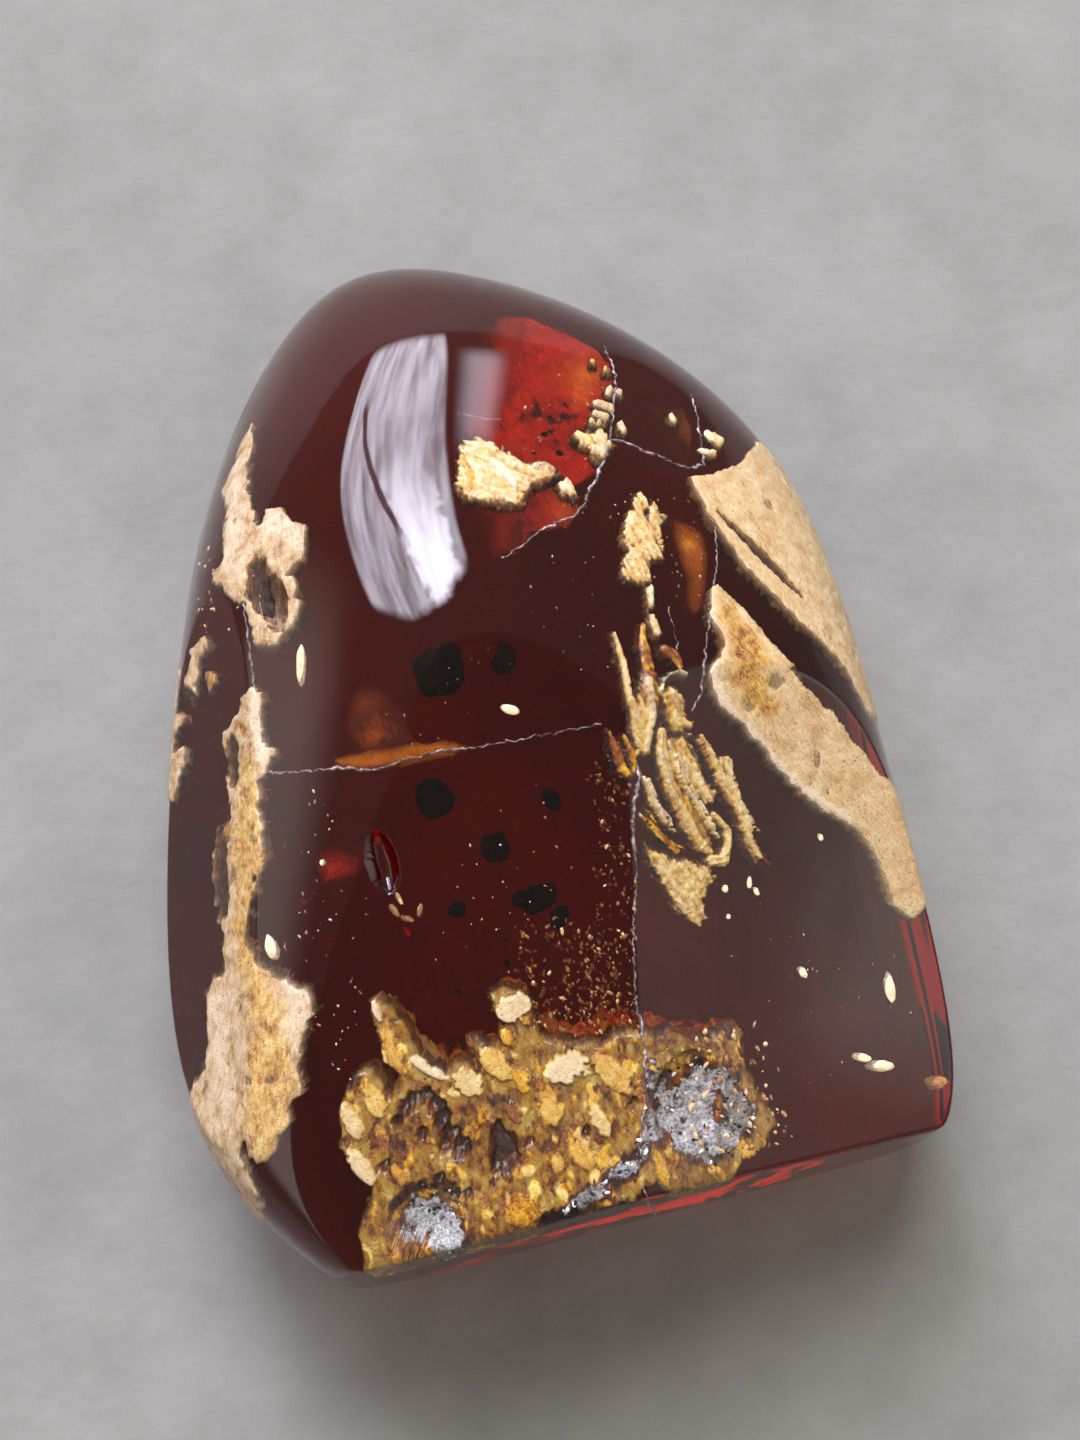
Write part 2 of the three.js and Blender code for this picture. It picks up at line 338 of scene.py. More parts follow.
# Left crust: the weathered skin of the lump, dry tan stuff of old resin and soil that the polishing
# left standing along the left shoulder. Each piece lies flush in the resin, its ragged edges running
# down under it. Outlines are drawn from above (x, y), from the right (y, z) or from the end (x, z).
LEFT_CRUST_DEPTH = 2.2
LEFT_CRUST_UPPER = [{
    "above": [(-10.6, 26.9), (-10.7, 25.1), (-11.1, 24.0), (-11.9, 21.8), (-11.9, 19.4), (-11.7, 17.6),
              (-11.1, 18.5), (-10.1, 18.1), (-9.6, 17.0), (-9.1, 16.1), (-8.6, 15.9), (-9.0, 14.8),
              (-9.6, 13.8), (-10.6, 12.9), (-10.3, 12.4), (-11.0, 11.1), (-10.1, 10.3), (-11.2, 9.1),
              (-12.0, 9.0), (-12.8, 8.2), (-13.8, 8.4), (-14.3, 9.6), (-14.4, 10.9), (-14.1, 12.7),
              (-14.7, 12.5), (-15.3, 13.5), (-16.0, 14.6), (-15.9, 15.6), (-15.2, 16.4), (-14.5, 18.4),
              (-13.8, 20.7), (-14.3, 22.6), (-13.5, 22.8), (-12.6, 24.4), (-11.2, 26.4)],
    "right": [(28, 40), (28, 14), (20, 14), (12, 17), (6, 20), (6, 40)],
}]
LEFT_CRUST_LOWER = [{
    "above": [(-16.1, 5.6), (-15.2, 6.2), (-14.9, 5.3), (-15.0, 4.0), (-15.6, 1.3), (-15.2, 0.9),
              (-15.7, -0.6), (-16.6, -0.7), (-17.0, -3.1), (-17.5, -6.2), (-19.0, -8.3), (-19.6, -9.7),
              (-20.4, -10.7), (-20.1, -12.2), (-19.9, -13.0), (-19.1, -14.3), (-18.2, -14.8),
              (-17.2, -15.9), (-16.9, -17.2), (-17.6, -18.9), (-18.6, -19.4), (-19.2, -20.9),
              (-19.3, -22.6), (-20.6, -23.3), (-20.2, -24.3), (-21.3, -25.0), (-23.0, -26.2),
              (-24.1, -25.7), (-24.1, -24.6), (-24.6, -25.3), (-24.4, -27.5), (-24.2, -29.2),
              (-25.5, -32), (-26.1, -27.4), (-26.3, -30), (-33, -28), (-33, -21.4), (-28, -21),
              (-27.2, -20.0),
              (-26.5, -18.8), (-25.7, -18.5), (-25.1, -17.3), (-24.9, -15.5), (-24.5, -13.7),
              (-23.7, -13.0), (-22.6, -13.0), (-22.4, -11.7), (-22.2, -9.5), (-21.9, -6.3), (-21.2, -4.1),
              (-20.3, -2.7), (-19.2, -2.4), (-18.9, 0.2), (-18.4, 2.8), (-18.2, 3.7), (-16.8, 4.4)],
    "right": [(-33, 40), (-31, 14), (-26, 9.5), (-21, 9), (-18, 14), (-10, 17), (6, 18), (8, 40)],
}]
LEFT_CRUST_SIDE = [{
    "above": [(-17.7, 11.3), (-17.7, 10.8), (-18.6, 9.7), (-19.3, 8.4), (-19.4, 7.4), (-20.2, 7.0),
              (-20.4, 8.1), (-19.7, 9.6), (-18.8, 10.8), (-18.2, 11.3)],
}, {
    "above": [(-33, 11), (-20.6, 10.1), (-21.1, 8.9), (-21.4, 7.6), (-21.5, 7.0), (-20.9, 6.4),
              (-22.0, 5.5), (-22.6, 4.4), (-21.0, 4.2), (-21.8, 3.0), (-22.5, 2.2), (-23.4, 1.0),
              (-33, 0.5)],
    "right": [(11.5, 40), (12.3, 17), (10, 14.5), (8, 13.2), (5.5, 14.3), (3.7, 17), (1.8, 16.3),
              (0.5, 19), (0.2, 40)],
}, {
    "above": [(-18.5, 9.0), (-17.9, 8.7), (-17.8, 7.6), (-18.4, 7.3)],
}]
GOLD_SIDE = [(-17.0, 0.8, 0.5), (-17.3, -1.4, 0.8), (-18.2, -4.0, 1.1), (-18.8, -6.0, 1.1),
             (-19.8, -8.6, 0.7),
             (-20.7, -10.5, 0.5), (-20.5, -13.5, 0.8), (-20.0, -16.6, 1.3), (-20.7, -20.0, 1.5),
             (-22.0, -23.1, 1.5), (-23.0, -24.9, 0.9)]
DARK_SUNK_HOLLOWS = [[(-20.2, -2.7, 0.25), (-20.7, -4.4, 0.5), (-21.2, -6.5, 0.55), (-21.6, -8.6, 0.4)],
                 [(-17.7, 2.7, 0.4), (-18.1, 1.4, 0.45), (-18.3, 0.0, 0.25)],
                 [(-12.9, 10.9, 0.5), (-13.1, 12.4, 0.9), (-12.7, 14.3, 0.7)],
                 [(-20.3, 8.3, 0.3), (-19.9, 7.4, 0.4)],
                 [(-22.0, 8.4, 0.3), (-22.4, 6.9, 0.5)]]
WHITE_RIDGE = [(-15.1, 6.5, 0.2), (-15.2, 5.0, 0.42), (-15.3, 3.5, 0.5), (-15.6, 1.8, 0.4),
               (-15.8, -0.1, 0.36),
               (-17.0, -3.0, 0.2), (-17.3, -5.4, 0.25)]
PALE_LOBES = [[(-18.4, -15.3, 0.8), (-18.0, -16.9, 1.2), (-18.8, -18.4, 0.8)],
              [(-23.6, -14.5, 0.7), (-24.4, -18.7, 1.0), (-25.2, -22.1, 1.1)],
              [(-10.9, 17.2, 0.8), (-9.6, 15.4, 0.8)], [(-12.4, 24, 0.6), (-13.8, 19, 0.9),
                                                        (-14.6, 14.6, 0.8)]]
ORANGE_SPOTS = [[(-16.8, 3.7, 0.3), (-16.6, 3.1, 0.4)], [(-18.3, 8.6, 0.4), (-18.1, 7.7, 0.4)],
                [(-19.6, -2.9, 0.4), (-20.2, -3.3, 0.3)]]
SEEN_FROM = {"above": (0, 1), "right": (1, 2), "end": (0, 2)}
TAN = ((0.07, 0.03, 0.012), (0.26, 0.15, 0.068), (0.45, 0.3, 0.16), (0.62, 0.5, 0.36))
GOLD = ((0.012, 0.002, 0.001), (0.2, 0.045, 0.003), (0.52, 0.27, 0.012), (0.68, 0.56, 0.14))


def inside_outline(points, outline):
    """How far inside a drawn outline each point is, in mm, and less than zero outside it."""
    start = np.array(outline, float)
    end = np.roll(start, -1, 0)
    edge = end - start
    gap = points[:, None] - start
    along = np.clip((gap * edge).sum(-1) / (edge * edge).sum(-1), 0, 1)
    away = np.linalg.norm(gap - along[..., None] * edge, axis=-1).min(1)
    level = points[:, 1:]
    crossed = (start[:, 1] > level) != (end[:, 1] > level)
    rise = np.where(edge[:, 1] == 0, 1e-9, edge[:, 1])
    meets = start[:, 0] + (level - start[:, 1]) * edge[:, 0] / rise
    inside = (crossed & (points[:, :1] < meets)).sum(1) % 2 == 1
    return np.where(inside, away, -away)


def inside_region(points, region):
    """The same for parts of a region, each drawn from one side or from two."""
    return np.max([
        np.min([inside_outline(points[:, SEEN_FROM[way]], outline) for way, outline in part.items()], 0)
        for part in region], 0)


def near_strands(points, strands, soft):
    """One on a strand and zero a little outside it."""
    return step(np.max([inside_strand(points, strand)[0] for strand in strands], 0), -soft, soft)


def inside_strand(points, strand):
    """How far inside a tapered strand, drawn from above with its half widths, and how high on its back."""
    strand = np.array(strand, float)
    best = np.full(len(points), -99.0)
    back_of = np.zeros(len(points))
    for (x0, y0, w0), (x1, y1, w1) in zip(strand[:-1], strand[1:]):
        edge = np.array([x1 - x0, y1 - y0])
        gap = points[:, :2] - (x0, y0)
        along = np.clip(gap @ edge / (edge @ edge + 1e-9), 0, 1)
        away = np.linalg.norm(gap - along[:, None] * edge, axis=1)
        width = w0 + (w1 - w0) * along
        inside = width - away
        closer = inside > best
        best = np.where(closer, inside, best)
        back_of = np.where(closer, np.sqrt(np.clip(1 - (away / width) ** 2, 0, 1)), back_of)
    return best, back_of


def wander(points, size, shift=0.0):
    """Smooth noise between about -1 and 1 with lumps of one size in mm."""
    spots = points / size + np.array([shift, shift * 0.7, -shift])
    cell = np.floor(spots).astype(np.int64)
    part = spots - cell
    ease = part ** 3 * (part * (part * 6 - 15) + 10)
    total = np.zeros(len(points))
    for corner in np.ndindex(2, 2, 2):
        key = ((cell + corner) * np.array([73856093, 19349663, 83492791])).sum(1) & 0xFFFFFFF
        key = ((key ^ (key >> 13)) * 1274126177) & 0xFFFFFFFF
        key = key ^ (key >> 15)
        slope = np.stack([(key >> bits) & 255 for bits in (0, 8, 16)], 1) / 127.5 - 1
        share = np.where(corner, ease, 1 - ease).prod(1)
        total += share * (slope * (part - corner)).sum(1)
    return total * 1.3


def step(values, low, high):
    part = np.clip((values - low) / (high - low), 0, 1)
    return part * part * (3 - 2 * part)


def start_inlay(name, shape, depth, cell, margin=0.3, taper=2.4, lowest=0.2):
    """A sheet let into the resin: a grid laid on the stone, cut to its outline and given a depth.

    shape(points, pit, coarse) gives how far inside each point is, how proud it stands in mm, and its
    paints. The coarse pass only finds where the piece lies.
    """
    ways = stone_directions[stone_directions[:, 2] > lowest][::5]
    coarse = HEART + ways * stone_radius(ways)[:, None]
    found = ways[shape(coarse, np.zeros(len(coarse), int), True)[0] > -0.1]
    middle = unit(found.mean(0))
    across = unit(np.cross((0.0, 1.0, 0.0), middle))
    up = np.cross(middle, across)
    reach = stone_radius(middle[None])[0]
    flat = np.stack([found @ across, found @ up], 1) / (found @ middle)[:, None]
    low, high = flat.min(0) - (margin + 0.5) / reach, flat.max(0) + (margin + 0.5) / reach
    counts = np.maximum(((high - low) * reach / cell).astype(int), 2)
    bpy.ops.object.select_all(action="DESELECT")
    bpy.ops.mesh.primitive_grid_add(x_subdivisions=int(counts[0]), y_subdivisions=int(counts[1]), size=1)
    piece = start_piece(name)
    spots = low + (places(piece.data)[:, :2] + 0.5) * (high - low)
    ways = unit(middle + spots[:, :1] * across + spots[:, 1:] * up)
    radius, pit = pitted(ways, stone_radius(ways))
    points = HEART + ways * radius[:, None]
    inside, top, paints = shape(points, pit, False)
    move_to(piece.data, (points + TO_MIDDLE + ways * top[:, None]) * MM)
    paints["within"] = inside
    for paint, values in paints.items():
        painted = piece.data.attributes.new(paint, "FLOAT", "POINT")
        painted.data.foreach_set("value", values.astype(np.float32))
    corners = np.array([list(face.vertices) for face in piece.data.polygons])
    select_faces(piece, ~(inside > -margin)[corners].all(1))
    bpy.ops.mesh.delete(type="FACE")
    bpy.ops.mesh.select_all(action="SELECT")
    bpy.ops.mesh.extrude_region_move()
    bpy.ops.object.mode_set(mode="OBJECT")
    outer = np.empty(len(piece.data.vertices), bool)
    piece.data.vertices.foreach_get("select", outer)
    within = np.empty(len(outer), np.float32)
    piece.data.attributes["within"].data.foreach_get("value", within)
    spots = places(piece.data) / MM - TO_MIDDLE
    inner = spots[~outer]
    deep = np.clip((within[~outer] + margin) / taper, 0, 1) ** 0.8
    deep = 0.12 + (depth - 0.12) * deep * (1 + 0.2 * wander(inner, 1.3, 5))
    spots[~outer] = inner - unit(inner - HEART) * deep[:, None]
    move_to(piece.data, (spots + TO_MIDDLE) * MM)
    bpy.ops.object.mode_set(mode="EDIT")
    bpy.ops.mesh.select_all(action="SELECT")
    bpy.ops.mesh.normals_make_consistent(inside=False)
    bpy.ops.object.mode_set(mode="OBJECT")
    bpy.ops.object.shade_smooth()
    return piece


def ragged(points, inside, coarse, lump=1.6, amount=0.5):
    """Frays an outline; the coarse pass, which only finds where the piece is, skips it."""
    if coarse:
        return inside
    return (inside + amount * wander(points, lump) + 0.6 * amount * wander(points, lump * 0.35, 3)
            + 0.2 * amount * wander(points, lump * 0.15, 7))


def worn_top(points, inside):
    """Height of dry crust: just proud of the polish, hollowed here and there, diving at its edges."""
    edge = np.clip(inside / 0.3, -1, 1)
    hollow = np.clip(wander(points, 1.3, 11) - 0.15, 0, None) * 0.3 + 0.05 * wander(points, 0.4, 13)
    return 0.1 * edge - hollow * (inside > 0) * np.clip(inside, 0, 1) - 2.2 * np.clip(-inside, 0, None)


def left_crust_shape(region):
    def shape(points, pit, coarse):
        inside = ragged(points, inside_region(points, region), coarse)
        if coarse:
            return inside, None, None
        gold, _ = inside_strand(points, GOLD_SIDE)
        gold = step(gold + 0.8 * wander(points, 0.9, 21), -0.5, 0.5)
        frayed = points + 0.35 * wander(points, 0.6, 23)[:, None]
        # Hollows along the crust, sunk a little and coloured dark.
        darkened = near_strands(frayed, DARK_SUNK_HOLLOWS, 0.25)
        orange = near_strands(frayed, ORANGE_SPOTS, 0.2)
        ridge = near_strands(frayed, [WHITE_RIDGE], 0.15)
        pale = np.maximum(ridge, 0.7 * near_strands(frayed, PALE_LOBES, 0.5))
        tone = 0.64 + 0.3 * wander(points, 1.0, 31) + 0.25 * wander(points, 0.35, 33) + 0.3 * pale
        # Painted shade: the crust is coloured darker inside the open pits.
        tone = tone * (1 - darkened) + 0.12 * darkened - 0.5 * (pit > 0)
        tone = tone * (1 - orange) + 0.45 * orange
        gold = np.clip(gold * 0.85 * (1 - 0.6 * pale) + darkened + orange, 0, 1)
        top = worn_top(points, inside) - 0.45 * darkened * (inside > 0)
        return inside, top, {"tone": tone, "gold": gold * 0.62, "silver": 0 * gold}
    return shape


def crust_material(name, grain_turn=0.0, grain=0.25, wet=0.0, grit=1.0):
    """Painted by the piece's own tone, gold and silver, with grain and grit of its own."""
    material, place, output = new_material(name)
    paint = {kind: place.node("ShaderNodeAttribute", {"attribute_name": kind}, out="Fac")
             for kind in ("tone", "gold", "silver", "within")}
    streaks = place.stretched((grain, 1, 1), (0, 0, grain_turn)).noise(1600, 4, 0.6)
    cloud = place.noise(700, 4, 0.6)
    specks = place.noise(5200, 3, 0.65)
    pores = 1 - place.cells(2600).between(0.1, 0.28)
    tone = paint["tone"] + (streaks - 0.5) * 0.75 + (specks - 0.5) * 0.5 * grit + (cloud - 0.5) * 0.5
    tone = tone - pores * cloud.between(0.5, 0.62) * 0.35
    stops = (0.05, 0.36, 0.62, 1.0)
    colour = paint["gold"].mix(tone.ramp(*zip(stops, TAN)), tone.ramp(*zip(stops, GOLD)))
    flash = place.cells(2100, out="Color").node("ShaderNodeSeparateColor")
    glint = (flash * 0.8 + (specks - 0.4) * 0.9).ramp(
        (0.28, (0.01, 0.007, 0.007)), (0.46, (0.1, 0.09, 0.095)),
        (0.66, (0.3, 0.3, 0.315)), (0.95, (0.75, 0.75, 0.78)))
    silver = (paint["silver"] + (cloud - 0.5) * 1.1).between(0.42, 0.56)
    colour = silver.mix(colour, glint)
    # Painted shade: where the crust dips under the polish it is coloured dark red-brown, the shade of the resin
    # over it.
    drowned_shade = 1 - paint["within"].between(-0.16, 0.06)
    resin_shade_colour = cloud.between(0.4, 0.6).mix((0.03, 0.008, 0.003), (0.2, 0.06, 0.012))
    colour = (drowned_shade * 0.9).mix(colour, resin_shade_colour)
    relief = (streaks * 0.5 + specks * 0.35 * grit + cloud * 0.3 - pores * 0.2)
    finish_surface(place, output, {
        "Base Color": colour,
        "Roughness": specks * 0.3 + (0.34 - wet * 0.18),
        "Metallic": silver * 0.4,
        "Coat Weight": wet,
        "Coat Roughness": 0.12,
        "Specular IOR Level": 0.5,
        "Normal": relief.bump(0.0003, 0.6),
    })
    return material


stone_directions = directions
left_crust = crust_material("left crust", -0.3, 0.3, 0.15)
for name, region in (("upper", LEFT_CRUST_UPPER), ("lower", LEFT_CRUST_LOWER), ("side", LEFT_CRUST_SIDE)):
    piece = start_inlay("left_skin_" + name, left_crust_shape(region), LEFT_CRUST_DEPTH, 0.17, lowest=-0.25)
    piece.data.materials.append(left_crust)
    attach(piece, "root")
    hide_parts("left_crust_" + name)


# Right crust: two sheets of the same old skin, wider and smoother, that wrap from the right facet
# down the right side with a strip of dark resin between them. The lower one has a pale clear rim.
RIGHT_CRUST_DEPTH = 2.8
RIGHT_CRUST_UPPER = [{
    "above": [(19, 12.5), (21.3, 12.5), (23.5, 13.3), (26, 16), (36, 15), (36, -9), (26.6, -7.5),
              (25.5, -3.4), (23.4, 0), (21.5, 3.4), (20.4, 6), (19.5, 8.5), (19, 11)],
    "right": [(17, 40), (15.5, 15), (12, 9.5), (7, 8), (3, 6.5), (-2, 9), (-5, 13.5), (-9, 16),
              (-13, 20), (-14, 40)],
}]
RIGHT_CRUST_LOWER = [{
    "above": [(18.1, 4.2), (19, 2.8), (20.3, 0), (21.6, -2.5), (23, -5.2), (24.4, -9), (26, -12),
              (29, -16), (29, -20), (25.5, -22.5), (24.3, -21), (24, -17), (22.4, -14.6), (19.8, -12),
              (18.6, -9.5), (17.2, -6.6), (15.6, -4.5), (15.7, -2.4), (17.3, -0.7), (17, 1.8)],
    "right": [(5, 40), (4, 20), (-8, 20), (-12, 17), (-15, 12), (-19, 9.5), (-22, 13), (-24, 18),
              (-25, 40)],
}]
SLITS = [[(20.0, 9.4, 0.08), (20.9, 7.8, 0.22), (22.1, 5.6, 0.36), (23.2, 3.6, 0.3), (24.2, 1.8, 0.08)],
         [(21.6, -3.4, 0.1), (22.3, -4.4, 0.3), (23.0, -5.6, 0.22), (23.4, -6.8, 0.08)]]
RUST = [(18.0, 1.5, 0.6), (18.9, -1.4, 1.4), (18.3, -4.2, 1.3), (19.6, -6.0, 0.6)]
PALE_RIM = [(17.2, 3.4, 0.3), (16.6, 0.4, 0.45), (15.8, -1.6, 0.5), (15.9, -4.4, 0.25), (17.6, -7.3, 0.25),
            (19.4, -11.0, 0.25), (22.6, -14.4, 0.25)]


def right_crust_shape(region):
    def shape(points, pit, coarse):
        inside = ragged(points, inside_region(points, region), coarse, 1.8, 0.3)
        if coarse:
            return inside, None, None
        slit = np.max([inside_strand(points, strand)[0] for strand in SLITS], 0)
        slit = step(slit + 0.08 * wander(points, 0.5, 9), -0.08, 0.12)
        rust = step(inside_strand(points, RUST)[0] + 0.8 * wander(points, 1.1, 41), -0.4, 0.8)
        pale = step(inside_strand(points, PALE_RIM)[0] + 0.3 * wander(points, 0.6, 43), -0.15, 0.2)
        tone = 0.74 + 0.16 * wander(points, 1.5, 31) + 0.12 * wander(points, 0.4, 33)
        tone = tone - 0.22 * rust * (1 + wander(points, 0.35, 35)) - 0.75 * slit + 0.4 * pale
        top = worn_top(points, inside) - 0.6 * slit
        return inside, top, {"tone": tone, "gold": 0.22 + 0.45 * rust - 0.2 * pale, "silver": 0 * tone}
    return shape


right_crust = crust_material("right crust", 0.34, 0.22, 0.1, 0.7)
for name, region in (("upper", RIGHT_CRUST_UPPER), ("lower", RIGHT_CRUST_LOWER)):
    piece = start_inlay("right_skin_" + name, right_crust_shape(region), RIGHT_CRUST_DEPTH, 0.2, lowest=-0.4)
    piece.data.materials.append(right_crust)
    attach(piece, "root")
    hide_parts("right_crust_" + name)


# Plume: a tuft of golden plant fibres that fans down over the ridge on to the right facet, caught
# when the resin was soft and cut by the polish. Matted clumps lie below and single strands on top;
# each has how light and how golden it is, and how far it stands above the polish, in mm.
PLUME_DEPTH = 1.8
CLUMPS = [
    # outline from above, light, gold, lift
    ([(14.9, 12.1), (15.4, 10.9), (14.9, 10.2), (15.7, 11.0), (16.0, 9.7), (15.4, 8.4), (15.1, 6.6),
      (14.1, 6.6),
      (13.6, 5.0), (12.5, 5.2), (11.7, 5.9), (12.3, 7.2), (12.9, 7.8), (12.6, 8.6), (13.3, 10.0),
      (14.1, 11.1)],
     0.74, 0.5, 0.08),
    ([(9.6, -3.2), (10.3, -2.7), (11.0, -1.2), (11.4, 0.0), (11.9, -0.3), (12.0, -1.2), (11.9, -3.3),
      (10.9, -5.1),
      (9.8, -6.9), (9.1, -6.6), (9.2, -5.6)], 0.66, 0.7, 0.04),
    ([(11.3, -6.0), (12.8, -6.3), (13.3, -7.7), (13.3, -8.9), (13.9, -10.5), (13.5, -11.2), (12.7, -11.0),
      (12.0, -9.9), (11.3, -8.3)], 0.72, 0.5, 0.08),
    ([(8.0, -12.9), (8.8, -13.4), (9.8, -14.3), (11.2, -14.8), (12.3, -16.0), (11.4, -16.8), (10.8, -17.4),
      (10.8, -18.7), (10.2, -19.2), (9.0, -17.8), (8.5, -16.4), (8.3, -15.4), (8.0, -14.1)], 0.74, 0.5, 0.08),
    ([(12.0, -3.0), (12.8, -2.6), (13.4, -3.4), (13.3, -5.2), (12.8, -6.2), (11.9, -5.8), (11.8, -4.4)],
     0.62, 0.8, 0.03),
    ([(10.6, -6.2), (11.5, -6.0), (12.2, -9.4), (13.0, -11.6), (12.4, -14.2), (11.4, -13.6), (10.5, -10.4),
      (10.4, -8.0)], 0.6, 0.75, 0.0),
]
FIBRES = [
    # strand from above with its half widths, light, gold, lift
    ([(13.4, 4.4, 0.25), (13.1, 3.3, 0.22)], 0.85, 0.3, 0.1), ([(12.9, 2.4, 0.22), (12.9, 1.2, 0.29)],
                                                               0.85, 0.3, 0.1),
    ([(12.1, 1.9, 0.22), (11.7, 0.2, 0.43), (11.5, -1.9, 0.5), (11.3, -3.6, 0.43)], 0.46, 1, 0.02),
    ([(10.0, 1.9, 0.11), (10.0, -0.2, 0.25), (9.7, -2.8, 0.29), (9.8, -4.2, 0.36)], 0.8, 0.4, 0.1),
    ([(7.7, -4.8, 0.14), (7.8, -6.0, 0.36), (7.8, -7.4, 0.43), (8.2, -8.0, 0.29)], 0.4, 1, -0.02),
    ([(8.6, -5.4, 0.2), (8.8, -6.8, 0.3), (8.6, -7.8, 0.2)], 0.5, 1, 0.0),
    ([(13.1, -0.1, 0.4), (13.6, -0.6, 0.45), (13.8, -1.5, 0.32)], 0.36, 1, -0.02),
    ([(11.3, -2.0, 0.3), (10.9, -4.4, 0.3), (9.8, -6.6, 0.25)], 0.9, 0.2, 0.16),
    ([(11.2, -5.6, 0.36), (10.8, -7.2, 0.43), (10.8, -9.2, 0.5), (11.1, -11.5, 0.5), (11.7, -13.8, 0.43),
      (12.2, -14.3, 0.22)], 0.74, 0.5, 0.12),
    ([(11.9, -7.4, 0.16), (11.8, -9.4, 0.2), (12.4, -11.6, 0.2), (12.9, -13.2, 0.14)], 0.85, 0.35, 0.16),
    ([(12.7, -3.4, 0.35), (12.4, -5.2, 0.45), (13.2, -5.6, 0.3)], 0.74, 0.6, 0.1),
    ([(13.2, -11.9, 0.2), (13.8, -13.0, 0.3), (13.7, -14.0, 0.26), (13.0, -15.1, 0.4),
      (12.1, -14.8, 0.25)], 0.76, 0.5, 0.1),
    ([(13.9, -6.5, 0.12), (14.2, -7.9, 0.3), (14.4, -9.8, 0.5), (14.9, -11.0, 0.45), (15.2, -12.7, 0.36),
      (15.2, -14.4, 0.3), (15.6, -15.5, 0.22)], 0.72, 0.5, 0.1),
    ([(15.0, -8.4, 0.2), (15.0, -9.8, 0.26), (15.2, -11.6, 0.2), (15.5, -13.6, 0.12)], 0.82, 0.4, 0.14),
    ([(15.5, -14.3, 0.18), (15.7, -15.6, 0.25), (16.1, -16.3, 0.12)], 0.28, 1, 0.04),
    ([(9.2, -8.6, 0.2), (9.4, -10.2, 0.26), (9.7, -11.6, 0.2), (9.9, -12.1, 0.12)], 0.85, 0.35, 0.14),
    ([(8.5, -11.1, 0.14), (9.1, -12.3, 0.34), (10.0, -13.7, 0.29)], 0.48, 1, 0.06),
    ([(12.0, -2.9, 0.1), (12.4, -2.2, 0.12), (13.0, -1.9, 0.1), (13.6, -1.9, 0.12), (14.0, -2.2, 0.1)],
     1.2, 0, 0.14),
]


def strands_shape(strands, fray=0.12, clumps=(), grain=(0.26, -0.97)):
    """Frayed strands on matted clumps, with fine ridges that run along the grain."""
    def shape(points, pit, coarse):
        inside = np.full(len(points), -99.0)
        top = np.full(len(points), -99.0)
        tone = np.zeros(len(points))
        gold = np.zeros(len(points))
        along = points[:, 0] * grain[0] + points[:, 1] * grain[1]
        beside = points[:, 0] * grain[1] - points[:, 1] * grain[0]
        laid = np.stack([beside, along * 0.16, points[:, 2] * 0.16], 1)
        ridges = 0 if coarse else wander(laid, 0.34, 2) + 0.5 * wander(laid, 0.15, 4)
        wobble = 0 if coarse else fray * (
            wander(points, 0.8, 3) + wander(points, 0.3, 5) + 0.6 * wander(points, 0.14, 6))
        for clump, light, golden, lift in clumps:
            within = inside_outline(points[:, :2], clump) + 1.3 * wobble + 0.12 * ridges
            height = np.where(within > 0, lift + 0.14 * np.clip(within / 0.5, 0, 1) + 0.14 * ridges,
                              0.05 + 2.2 * within)
            higher = height > top
            top = np.where(higher, height, top)
            # Painted shade: each clump is coloured darker along its edge, where it dips under the polish.
            tone = np.where(higher, light + 0.3 * ridges - 0.25 * (within < 0.1), tone)
            gold = np.where(higher, golden - 0.25 * ridges, gold)
            inside = np.maximum(inside, within)
        for strand, light, golden, lift in strands:
            within, back_of = inside_strand(points, strand)
            within = within + wobble
            height = np.where(within > 0, lift + 0.22 * back_of + 0.08 * ridges, 0.05 + 2.2 * within)
            higher = height > top
            top = np.where(higher, height, top)
            # Painted shade: each strand is coloured darker down its sides, where its round back falls away.
            tone = np.where(higher, light + 0.2 * ridges - 0.35 * (1 - back_of) * (within < 0.12), tone)
            gold = np.where(higher, golden, gold)
            inside = np.maximum(inside, within)
        if coarse:
            return inside, None, None
        top = np.clip(top, -1.2, None) - 0.1 + 0.07 * wander(points, 0.3, 17)
        tone = tone + 0.3 * wander(points, 0.4, 19)
        gold = np.clip(gold + 0.3 * wander(points, 0.7, 29), 0, 1)
        return inside, top, {"tone": tone, "gold": gold, "silver": 0 * gold}
    return shape


random.seed(5)
for strand, light, golden, lift in FIBRES[8:17]:
    for _ in range(3):
        aside, width = random.uniform(-0.4, 0.4), random.uniform(0.05, 0.12)
        rows = [(x + aside + random.gauss(0, 0.12), y + random.gauss(0, 0.25), width) for x, y, _ in strand]
        FIBRES.append((rows, light + random.uniform(-0.25, 0.2), golden + random.uniform(-0.3, 0.2),
                       lift + random.uniform(-0.08, 0.12)))
plume = start_inlay("fibre_tuft", strands_shape(FIBRES, 0.16, CLUMPS), PLUME_DEPTH, 0.09, 0.25, 1.2)
plume.data.materials.append(crust_material("golden fibre", 0.25, 0.12, 0.5, 0.6))
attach(plume, "root")
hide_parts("plume")


